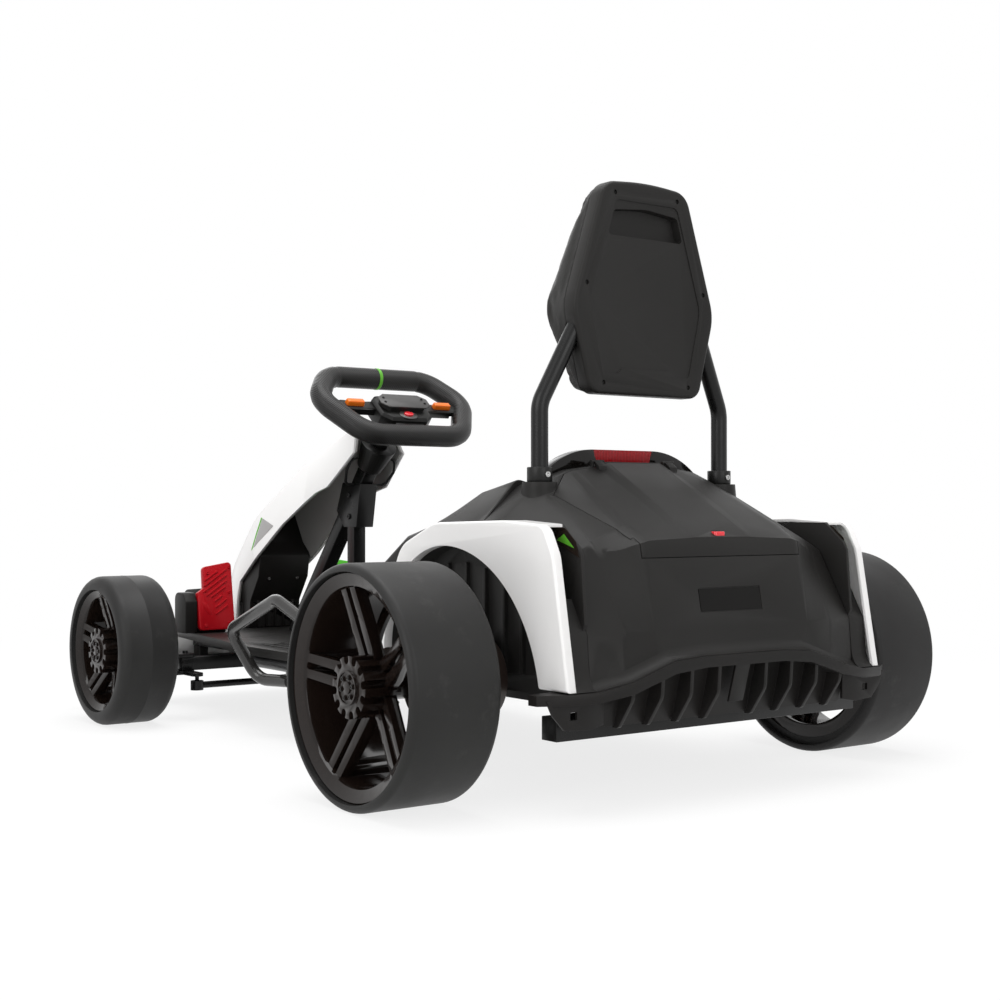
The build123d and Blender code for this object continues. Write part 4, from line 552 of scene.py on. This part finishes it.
# Node, material, edge width in mm, smooth angle
softened = (
    ("fenders", white_gloss, 1.6, 30), ("nose_cowl", white_gloss, 1.2, 30),
    ("front_bumper", white_gloss, 3.0, 30), ("cowl_liner", liner_grey, 0.8, 30),
    ("front_splitter", grained_black, 2.0, 30), ("rear_body", grained_black, 1.6, 30),
    ("rear_lid", grained_black, 1.2, 30), ("hips", grained_black, 6.0, 35),
    ("seat_bucket", grained_black, 1.5, 35), ("wheel_wells", grained_black, 1.2, 35),
    ("diffuser", housing_black, 1.6, 30), ("backrest_shell", grained_black, 1.2, 35),
    ("lamp_garnish", smooth_black, 1.0, 30), ("tail_lamp", lens_red, 0.8, 30),
    ("nose_box", housing_black, 1.5, 30), ("pedal_mounts", housing_black, 2.0, 30),
    ("main_frame", tube_black, 1.5, 35), ("front_axle_beam", tube_black, 1.5, 35),
    ("column_tube", tube_black, 1.5, 35), ("steering_post", tube_black, 1.5, 35),
    ("steering_hub", satin_black, 1.2, 35), ("steering_buttons", orange_moulding, 1.2, 35),
    ("start_button", red_button, 0.6, 35), ("lid_button", red_button, 0.8, 35),
    ("floor_pan", grained_black, 1.0, 35), ("gearboxes", brown_black, 2.0, 35),
    ("post_collars", satin_black, 0.7, 35), ("column_collar", satin_black, 1.2, 35),
    ("knuckle_left", tube_black, 0.8, 35), ("knuckle_right", tube_black, 0.8, 35),
    ("rim_rear_left", rim_gloss, 0.6, 30), ("rim_rear_right", rim_gloss, 0.6, 30),
    ("rim_front_left", rim_gloss, 0.6, 30), ("rim_front_right", rim_gloss, 0.6, 30),
)
for name, material, width, angle in softened:
    piece = soften(name, material, width, angle)
    print(name, len(piece.data.polygons))

# A free wheel rests at any angle: the near rear rim is turned a little, as the photograph has it
REST_TURN = radians(10)
near_rim = bpy.data.objects["rim_rear_left_skin"]
near_hub = next(hub for wheel, hub, side in wheel_rows if wheel == "rear_left")
near_rim.data.transform(Matrix.Translation(near_hub) @ Matrix.Rotation(REST_TURN, 4, "Y")
                        @ Matrix.Translation(-near_hub))
print("rear left rim turned by", round(REST_TURN * 180 / pi), "degrees")


# %% [markdown]
# ## Backrest pad and seat cushion
# Both are foam blocks in a sewn vinyl cover, which swells between its seams. The CAD block is drawn in
# a little, turned into an even skin of voxels, and blown up from inside as cloth with its back held.
# How far a point may move is capped, so the pad stays in its place. The sewn channels come after that,
# because remeshing would fill them, and they are pressed in by moving vertices near each seam.

# %% Pads
CLOTH_FRAMES = 20


def swell(piece, held, cap, voxel=4.5):
    """Blow a closed mesh up as cloth. held says which points stay, cap is the most that one moves."""
    activate(piece)
    piece.data.remesh_voxel_size = voxel * MM
    bpy.ops.object.voxel_remesh()
    rest = [vertex.co.copy() for vertex in piece.data.vertices]
    group = piece.vertex_groups.new(name="held")
    group.add([number for number, place in enumerate(rest) if held(place)], 1.0, "REPLACE")
    cloth = piece.modifiers.new("cloth", "CLOTH")
    cloth.settings.vertex_group_mass = "held"
    cloth.settings.use_pressure = True
    cloth.settings.uniform_pressure_force = 4
    cloth.settings.effector_weights.gravity = 0
    for number in range(1, CLOTH_FRAMES + 1):
        bpy.context.scene.frame_set(number)
    finish_modifiers(piece)
    bpy.context.scene.frame_set(1)
    moved = 0
    for vertex, place in zip(piece.data.vertices, rest):
        step = vertex.co - place
        if step.length > cap * MM:
            vertex.co = place + step.normalized() * cap * MM
        moved = max(moved, (vertex.co - place).length)
    piece.vertex_groups.clear()
    finer = piece.modifiers.new("finer", "SUBSURF")
    finer.levels = finer.render_levels = 1
    finish_modifiers(piece)
    print(piece.name, "swelled by up to", round(moved / MM, 1), "mm, faces:", len(piece.data.polygons))


def press_seam(piece, depth, width, distance_to_seam, direction):
    """Push the points near a seam inwards, deepest on its line."""
    normals = [vertex.normal.copy() for vertex in piece.data.vertices]
    for vertex, normal in zip(piece.data.vertices, normals):
        share = max(0.0, 1 - distance_to_seam(vertex.co) / (width * MM))
        if share and normal.dot(-direction) > 0.3:
            vertex.co += direction * depth * MM * share ** 1.5


def shrink(piece, margin):
    """Draw a mesh in by a margin, measured along its box."""
    low, high = (Vector([pick(vertex.co[axis] for vertex in piece.data.vertices) for axis in range(3)])
                 for pick in (min, max))
    middle = (low + high) / 2
    for vertex in piece.data.vertices:
        for axis in range(3):
            size = high[axis] - low[axis]
            vertex.co[axis] = middle[axis] + (vertex.co[axis] - middle[axis]) * (1 - 2 * margin * MM / size)


backrest = merged_copy("backrest_pad")
shrink(backrest, 1.5)
back_plane = REAR_X - 2 * MM
swell(backrest, lambda place: place.x < back_plane + 5 * MM, 4.5)
# A distance of FAR says that a point lies past the end of its seam
FAR = 1.0
BACKWARD = Vector((-1, 0, 0))
CROSS_SEAM_END = 0.062
SIDE_SEAM_LOW, SIDE_SEAM_HIGH = 0.47, 0.69


def to_cross_seam(place, seam_z):
    return abs(place.z - seam_z * MM) if abs(place.y) < CROSS_SEAM_END else FAR


def to_side_seam(place, seam_y):
    return abs(place.y - seam_y * MM) if SIDE_SEAM_LOW < place.z < SIDE_SEAM_HIGH else FAR


for seam_z in (505, 560, 615, 668):
    press_seam(backrest, 4, 7, lambda place: to_cross_seam(place, seam_z), BACKWARD)
for seam_y in (64, -64):
    press_seam(backrest, 4, 7, lambda place: to_side_seam(place, seam_y), BACKWARD)
smooth(backrest, 60)
stand_for(backrest, "backrest_pad", vinyl_black)

cushion = merged_copy("seat_cushion")
shrink(cushion, 1.5)
cushion_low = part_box("seat_cushion")[0]
swell(cushion, lambda place: place.z < cushion_low.z + 9 * MM, 6)
for seam_y in (-54, -18, 18, 54):
    press_seam(cushion, 5, 8, lambda place: abs(place.y - seam_y * MM), Vector((0, 0, -1)))
smooth(cushion, 60)
stand_for(cushion, "seat_cushion", vinyl_black)


# %% [markdown]
# ## Steering wheel grip
# The rim is a fat tube of soft vinyl over a core, bent to a rounded six-sided outline, with fine joints
# between its sections and one green band at the top. Its middle line is drawn with an extruded vertex,
# made a curve, given a round section whose radius dips at each joint, and made a mesh again.

# %% Wheel plane
WHEEL_MIDDLE = Vector((FRONT_X - 249 * MM, 0, 467 * MM))
WHEEL_LEAN = radians(50)
WHEEL_ACROSS = Vector((0, -1, 0))
WHEEL_UP = Vector((sin(WHEEL_LEAN), 0, cos(WHEEL_LEAN)))
WHEEL_OUT = Vector((-cos(WHEEL_LEAN), 0, sin(WHEEL_LEAN)))


def on_wheel(across, up, out=0.0):
    """A point on the steering wheel, in mm from its middle: to the driver's right, up it, at the driver."""
    return WHEEL_MIDDLE + (WHEEL_ACROSS * across + WHEEL_UP * up + WHEEL_OUT * out) * MM


WHEEL_TURN = Matrix((WHEEL_ACROSS, WHEEL_UP, WHEEL_OUT)).transposed().to_4x4()

# %% Grip
GRIP_RADIUS = 15.8
JOINT_HALF_WIDTH = 2.1 * MM
JOINT_RADIUS_SHARE = 0.955
grip_corners = [(86, 69, 42), (125, 10, 42), (81, -69, 44)]
corners = grip_corners + [(-across, up, radius) for across, up, radius in reversed(grip_corners)]
outline = rounded_line([(on_wheel(across, up), radius) for across, up, radius in corners], count=12)
middle_line = []
for start, end in zip(outline, outline[1:] + outline[:1]):
    steps = max(1, round((end - start).length / (4 * MM)))
    middle_line += [start.lerp(end, step / steps) for step in range(steps)]
grip = draw_line("steering_grip", middle_line)
bpy.ops.object.mode_set(mode="OBJECT")
activate(grip)
bpy.ops.object.convert(target="CURVE")
grip.data.bevel_depth = GRIP_RADIUS * MM
grip.data.bevel_resolution = 6
spline = grip.data.splines[0]
spline.use_cyclic_u = True
joints = [on_wheel(across, up) for across, up in ((72, 69), (-72, 69), (112, -20), (-112, -20))]
for point in spline.points:
    near = min((point.co.to_3d() - joint).length for joint in joints)
    point.radius = JOINT_RADIUS_SHARE if near < JOINT_HALF_WIDTH else 1.0
bpy.ops.object.convert(target="MESH")
close_up(grip)
smooth(grip, 50)
stand_for(grip, "steering_rim", grip_twill)
print("grip faces:", len(grip.data.polygons))

# %% [markdown]
# ### Green band and pad
# The green band at the top of the wheel shows the driver when the wheels point straight ahead. It is a
# short sleeve a little fatter than the grip. The pad is a flat cover plate held by four small screws,
# with a grey oval bezel for the start button below it, and two arms that carry the orange buttons.

# %% Band
def place_on_wheel(piece, across, up, out):
    """Turn a piece that was modelled flat at the origin into the wheel's plane, and put it there."""
    piece.data.transform(Matrix.Translation(on_wheel(across, up, out)) @ WHEEL_TURN)


bpy.ops.object.select_all(action="DESELECT")
bpy.ops.mesh.primitive_cylinder_add(vertices=48, radius=(GRIP_RADIUS + 0.5) * MM, depth=5 * MM,
                                    rotation=(0, pi / 2, 0))
band = bpy.context.object
band.name = "steering_green_band"
bpy.ops.object.transform_apply(rotation=True)
place_on_wheel(band, 0, 69, 0)
round_edges(band, 0.6, angle=50)
smooth(band, 40)
settle(band, "steering_wheel", film_green)


# %% Pad, bezel and arms
def flat_plate(name, outline, thick, edge):
    """A plate from an outline in its own plane: drawn, filled, extruded upwards and rounded."""
    piece = draw_line(name, [Vector((x * MM, y * MM, 0)) for x, y in outline + outline[:1]])
    bpy.ops.mesh.select_all(action="SELECT")
    bpy.ops.mesh.remove_doubles(threshold=0.00001)
    bpy.ops.mesh.edge_face_add()
    bpy.ops.mesh.extrude_region_move(TRANSFORM_OT_translate={"value": (0, 0, thick * MM)})
    bpy.ops.object.mode_set(mode="OBJECT")
    close_up(piece)
    round_edges(piece, edge, angle=40)
    smooth(piece, 35)
    return piece


def ellipse(half_width, half_height, count):
    """Points round an ellipse."""
    angles = [step * 2 * pi / count for step in range(count)]
    return [(half_width * cos(angle), half_height * sin(angle)) for angle in angles]


pad_outline = [(30, 2), (42, -7), (42, -20), (32, -29), (-32, -29), (-42, -20), (-42, -7), (-30, 2)]
pad = flat_plate("steering_pad_cover", pad_outline, 2, 0.5)
place_on_wheel(pad, 0, 0, 19)
settle(pad, "steering_wheel", cover_black)

bezel = flat_plate("start_button_bezel", ellipse(15, 10, 24), 1.6, 0.5)
place_on_wheel(bezel, 0, -36, 11.4)
settle(bezel, "steering_wheel", bezel_grey)

arm_outline = [(42, 3), (56, 2), (94, 4), (106, 0), (103, -15), (92, -17), (58, -15), (42, -18)]
for side_name, side in SIDES:
    mirrored_outline = [(-side * across, up) for across, up in arm_outline]
    arm = flat_plate(f"button_arm_{side_name}", mirrored_outline, 7.5, 1.5)
    place_on_wheel(arm, 0, 0, -1.5)
    settle(arm, "steering_wheel", satin_black)
print("pad, bezel and two arms on the steering wheel")


# %% [markdown]
# ## Screws and bolts
# The kart is put together with button-head screws and a few hexagon bolts. One of each is modelled: a
# short cylinder whose top is inset and sunk for the driver's socket, with its rim rounded. It is then
# copied to each place, with its own mesh, and turned to stand on the face that it holds. On the real
# kart the heads are cold formed from wire and zinc plated, or blackened where they should not be seen.

# %% One screw of each kind
def screw_head(name, sides, socket):
    """A head of radius 1 and height 0.6, standing on the origin."""
    bpy.ops.object.select_all(action="DESELECT")
    bpy.ops.mesh.primitive_cylinder_add(vertices=sides, radius=1, depth=0.6, location=(0, 0, 0.3))
    head = bpy.context.object
    head.name = name
    bpy.ops.object.transform_apply(location=True)
    bpy.ops.object.mode_set(mode="EDIT")
    bpy.ops.mesh.select_all(action="DESELECT")
    bpy.ops.object.mode_set(mode="OBJECT")
    for face in head.data.polygons:
        face.select = face.normal.z > 0.9
    bpy.ops.object.mode_set(mode="EDIT")
    bpy.ops.mesh.inset(thickness=1 - socket)
    bpy.ops.mesh.extrude_region_move(TRANSFORM_OT_translate={"value": (0, 0, -0.3)})
    bpy.ops.object.mode_set(mode="OBJECT")
    bevel = head.modifiers.new("edge", "BEVEL")
    bevel.width = 0.12
    bevel.segments = 2
    bevel.angle_limit = radians(50)
    finish_modifiers(head)
    return head


button_head = screw_head("button_head", 20, 0.45)
hexagon_head = screw_head("hexagon_head", 6, 0.5)


def drive(pattern, name, places, direction, radius, body, material):
    """Copy a screw head to each place, all facing one way, joined as one piece."""
    turn = Vector(direction).to_track_quat("Z", "Y").to_matrix().to_4x4()
    copies = []
    for place in places:
        copy = bpy.data.objects.new(name, pattern.data.copy())
        bpy.context.scene.collection.objects.link(copy)
        copy.data.transform(Matrix.Translation(place) @ turn @ Matrix.Scale(radius * MM, 4))
        copies.append(copy)
    bpy.ops.object.select_all(action="DESELECT")
    for copy in copies:
        copy.select_set(True)
    bpy.context.view_layer.objects.active = copies[0]
    if len(copies) > 1:
        bpy.ops.object.join()
    smooth(copies[0], 35)
    return settle(copies[0], body, material)


# %% Screws in place
def from_rear(x, y, z):
    """A point given in mm from the rear axle, from the middle and from the floor."""
    return Vector((REAR_X + x * MM, y * MM, z * MM))


drive(button_head, "collar_screws", [from_rear(-14.1, y, 355.5) for y in (142.5, -142.5)], (-1, 0, 0), 3.4,
      "chassis", zinc)
drive(button_head, "backrest_screws", [from_rear(-20.5, side * y, z) for side in (1, -1)
                                       for y, z in ((49, 686), (92, 577), (67, 463))],
      (-1, 0, 0), 2.6, "chassis", satin_black)
drive(button_head, "pad_screws", [on_wheel(side * across, up, 20.7) for side in (1, -1)
                                  for across, up in ((33, -8), (34, -18))],
      WHEEL_OUT, 2.0, "steering_wheel", film_black)
for side_name, side in SIDES:
    drive(hexagon_head, f"guard_bolts_{side_name}", [from_rear(x, side * 199, 90) for x in (484, 262)],
          (0, side, 0), 6, "chassis", zinc)
for side_name, side in SIDES:
    drive(hexagon_head, f"sleeve_bolts_{side_name}", [from_rear(633, side * 14.8, z) for z in (305, 338)],
          (0, side, 0), 4.5, "chassis", tube_black)
# Distance of a hub cap's bolts from its middle, and of its sunk face from the middle of the tyre
CAP_BOLT_CIRCLE = 11.5
CAP_FACE = {"rear": 52.8, "front": 42.3}
for wheel, hub, side in wheel_rows:
    face = CAP_FACE[wheel.split("_")[0]]
    turned = REST_TURN if wheel == "rear_left" else 0.0
    angles = [step * pi / 3 - turned for step in range(6)]
    spots = [hub + Vector((CAP_BOLT_CIRCLE * cos(angle), side * face, CAP_BOLT_CIRCLE * sin(angle))) * MM
             for angle in angles]
    drive(button_head, f"cap_bolts_{wheel}", spots, (0, side, 0), 2.4, f"{wheel}_wheel",
          smooth_black)
BOX_FACE_OUT = (-0.82, 0, -0.57)
drive(button_head, "nose_box_screws", [from_rear(869.4, y, 202.7) for y in (26, -26)], BOX_FACE_OUT, 2.6,
      "chassis", zinc)
print("screws and bolts in place")


# %% [markdown]
# ## Pedals
# A pedal is a thick moulded plate with a step in its outer edge, where the sole rests. Raised ribs run
# across it at a slant for grip, with a plain oval below them, and five rivets hold it to its lever. The
# outline is drawn with arcs at its corners, extruded, and rounded. The ribs are made in the same way.

# %% Pedals
PEDAL_LEAN = radians(8)
PEDAL_X, PEDAL_Y, PEDAL_Z = 850, 130, 141
PEDAL_THICK = 9
RIB_SUNK = 0.6
# Across towards the middle of the kart, up, corner radius
pedal_corners = [(-29.5, -16.5, 6), (32, -16.5, 6), (31.5, 92, 6),
                 (-18.6, 84, 7), (-19.2, 50, 2), (-30, 43, 3)]
# Start and end of each rib
pedal_ribs = [(-16.4, 62.6, 5.8, 76.5), (-18.0, 53.4, 21.8, 79.5),
              (-19.6, 44.1, 21.7, 70.3), (-13.7, 38.7, 20.5, 61.1),
              (-6.2, 36.4, 17.9, 51.1), (-0.6, 29.5, 11.3, 37.2),
              (0.6, 19.5, 19.1, 31.8), (0.4, 8.7, 20.7, 22.3)]
pedal_rivets = [(-10.9, 74.1), (27.7, 82.6), (25.9, 42.6), (-18.4, -9.0), (22.5, -6.7)]
oval_place = Matrix.Translation(Vector((-14.7, 17.9, 0)) * MM) @ Matrix.Rotation(radians(32), 4, "Z")


def capsule(across, up, end_across, end_up, half_width, count=5):
    """The outline of a slot between two points."""
    run = Vector((end_across - across, end_up - up)).normalized()
    heading = run.angle_signed(Vector((1, 0)))
    outline = []
    for middle, turn in (((end_across, end_up), -pi / 2), ((across, up), pi / 2)):
        for step in range(count + 1):
            angle = heading + turn + pi * step / count
            outline.append((middle[0] + half_width * cos(angle), middle[1] + half_width * sin(angle)))
    return outline


for colour, side, material in (("red", 1, red_moulding), ("green", -1, green_moulding)):
    pedal_turn = Matrix(((0, -side, 0), (sin(PEDAL_LEAN), 0, cos(PEDAL_LEAN)),
                         (-cos(PEDAL_LEAN), 0, sin(PEDAL_LEAN)))).transposed().to_4x4()
    pedal_place = Matrix.Translation(from_rear(PEDAL_X, side * PEDAL_Y, PEDAL_Z)) @ pedal_turn
    corners = rounded_line([(Vector((across, up, 0)) * MM, radius) for across, up, radius in pedal_corners])
    plate = flat_plate(f"pedal_{colour}_plate", [(point.x / MM, point.y / MM) for point in corners],
                       PEDAL_THICK, 1.4)
    plate.data.transform(Matrix.Translation((0, 0, -PEDAL_THICK * MM)))
    raised = []
    for number, (across, up, end_across, end_up) in enumerate(pedal_ribs):
        rib = flat_plate(f"rib_{number}", capsule(across, up, end_across, end_up, 1.3), 1.9, 0.6)
        raised.append(rib)
    oval = flat_plate("oval", ellipse(4.4, 12.6, 28), 1.2, 0.6)
    oval.data.transform(oval_place)
    raised.append(oval)
    for piece in raised:
        piece.data.transform(Matrix.Translation((0, 0, -RIB_SUNK * MM)))
    activate(plate)
    for piece in raised:
        piece.select_set(True)
    bpy.ops.object.join()
    plate.data.transform(pedal_place)
    # The right pedal is mirrored, which turns its faces inside out
    if side < 0:
        activate(plate)
        bpy.ops.object.mode_set(mode="EDIT")
        bpy.ops.mesh.select_all(action="SELECT")
        bpy.ops.mesh.normals_make_consistent(inside=False)
        bpy.ops.object.mode_set(mode="OBJECT")
    smooth(plate, 35)
    stand_for(plate, f"pedal_{colour}", material)
    drive(button_head, f"pedal_{colour}_rivets",
          [pedal_place @ Vector((across * MM, up * MM, -0.4 * MM)) for across, up in pedal_rivets],
          pedal_turn.to_3x3().col[2], 2.6, "chassis", material)
    print("pedal", colour, "faces:", len(plate.data.polygons))
for pattern in (button_head, hexagon_head):
    bpy.data.objects.remove(pattern)


# %% [markdown]
# ## Films on the fenders, the nose and the rear face
# Thin printed films are glued on last. Each fin beside a fender has a brown-black one with a plain green
# triangle, the nose has green lines beside a grey field, and the sunk panel in the rear face has a
# smooth black plate. A flat one is drawn as an outline, filled, and given the thickness of a film. The
# nose is curved, so a film on it starts as a grid that is pressed onto its wall.

# %% Films on the fins
def film(name, points, push, body, material):
    """A flat film through some points, with its thickness given as a push off the surface."""
    piece = draw_line(name, points + points[:1])
    bpy.ops.mesh.select_all(action="SELECT")
    bpy.ops.mesh.remove_doubles(threshold=0.00001)
    bpy.ops.mesh.edge_face_add()
    bpy.ops.mesh.extrude_region_move(TRANSFORM_OT_translate={"value": push})
    bpy.ops.object.mode_set(mode="OBJECT")
    close_up(piece)
    return settle(piece, body, material)


# Along the kart and up, in mm
patch_outline = [(-92, 294), (-118, 297.5), (-127, 296), (-144.5, 282), (-149.5, 265.5), (-105, 284)]
triangle_outline = [(-113, 283.4), (-124.7, 290), (-141.2, 275.6)]
FILM_THICK = 0.35
FIN_FACE = 207.4
TRIANGLE_FACE = 207.7
for side_name, side in SIDES:
    push = Vector((0, side * FILM_THICK * MM, 0))
    film(f"fin_film_{side_name}", [from_rear(x, side * FIN_FACE, z) for x, z in patch_outline], push,
         "chassis", film_brown)
    film(f"fin_triangle_{side_name}", [from_rear(x, side * TRIANGLE_FACE, z) for x, z in triangle_outline],
         push, "chassis", film_green)


# %% Films on the nose
def wrapped_film(name, corners, side, material):
    """A film laid on a side wall of the nose: a grid between four corners, pressed on and thickened."""
    bpy.ops.object.select_all(action="DESELECT")
    bpy.ops.mesh.primitive_grid_add(x_subdivisions=16, y_subdivisions=24, size=2)
    piece = bpy.context.object
    piece.name = name
    high_front, high_back, low_back, low_front = [from_rear(x, side * 90, z) for x, z in corners]
    for vertex in piece.data.vertices:
        along, down = (vertex.co.x + 1) / 2, (vertex.co.y + 1) / 2
        vertex.co = high_front.lerp(high_back, along).lerp(low_front.lerp(low_back, along), down)
    press = piece.modifiers.new("press", "SHRINKWRAP")
    press.target = bpy.data.objects["nose_cowl_skin"]
    press.wrap_method = "PROJECT"
    press.use_project_x = press.use_project_z = False
    press.use_project_y = press.use_negative_direction = press.use_positive_direction = True
    press.wrap_mode = "ABOVE_SURFACE"
    press.offset = 0.3 * MM
    finish_modifiers(piece)
    close_up(piece)
    body = piece.modifiers.new("body", "SOLIDIFY")
    body.thickness = 0.4 * MM
    body.offset = 0
    finish_modifiers(piece)
    close_up(piece)
    smooth(piece, 40)
    return settle(piece, "chassis", material)


# Corners along the kart and up, in mm: front high, rear high, rear low, front low
nose_stripe = [(876.5, 302.3), (873.6, 302.0), (888.6, 248.5), (891.0, 248.5)]
nose_thin_stripe = [(872.3, 301.9), (870.9, 301.7), (886.0, 250.5), (887.3, 250.5)]
nose_field = [(868.5, 301.0), (811.5, 289.5), (874.0, 256.5), (881.0, 253.0)]
for side_name, side in SIDES:
    wrapped_film(f"nose_stripe_{side_name}", nose_stripe, side, film_green)
    wrapped_film(f"nose_thin_stripe_{side_name}", nose_thin_stripe, side, film_green)
    wrapped_film(f"nose_field_{side_name}", nose_field, side, film_grey)
print("nose films: a green line, a thin one and a grey field on each side")


# %% Plate in the rear face
PANEL_SUNK = 1.1


def rear_face(y, z):
    """A point on the sunk panel in the rear face, which slants forward by 19 mm over 98 mm of height."""
    return from_rear(-168 + (z - 186) * 19 / 98 + PANEL_SUNK, y, z)


plate_corners = [(46.5, 204.5), (46.5, 228.5), (-46.5, 228.5), (-46.5, 204.5)]
film("rear_plate", [rear_face(y, z) for y, z in plate_corners], Vector((-0.5 * MM, 0, 0)), "chassis",
     film_black)


# %% [markdown]
# ## Nodes kept as they are
# The bent tubes, shafts and cables came out of the CAD round and need no more shape, so they only get
# their finish and smooth shading.

# %% Kept nodes
for name, material in (
    ("backrest_posts", tube_black), ("side_bars", guard_black), ("sill_tubes", sill_twill),
    ("rear_axle", zinc), ("steering_spindle", zinc), ("tie_rod", tube_black),
    ("cable_left", satin_black), ("cable_right", satin_black),
):
    shown = frame["nodes"][name]
    shown.data.materials.clear()
    shown.data.materials.append(material)
    smooth(shown, 35)
    print(name, "in", material.name)
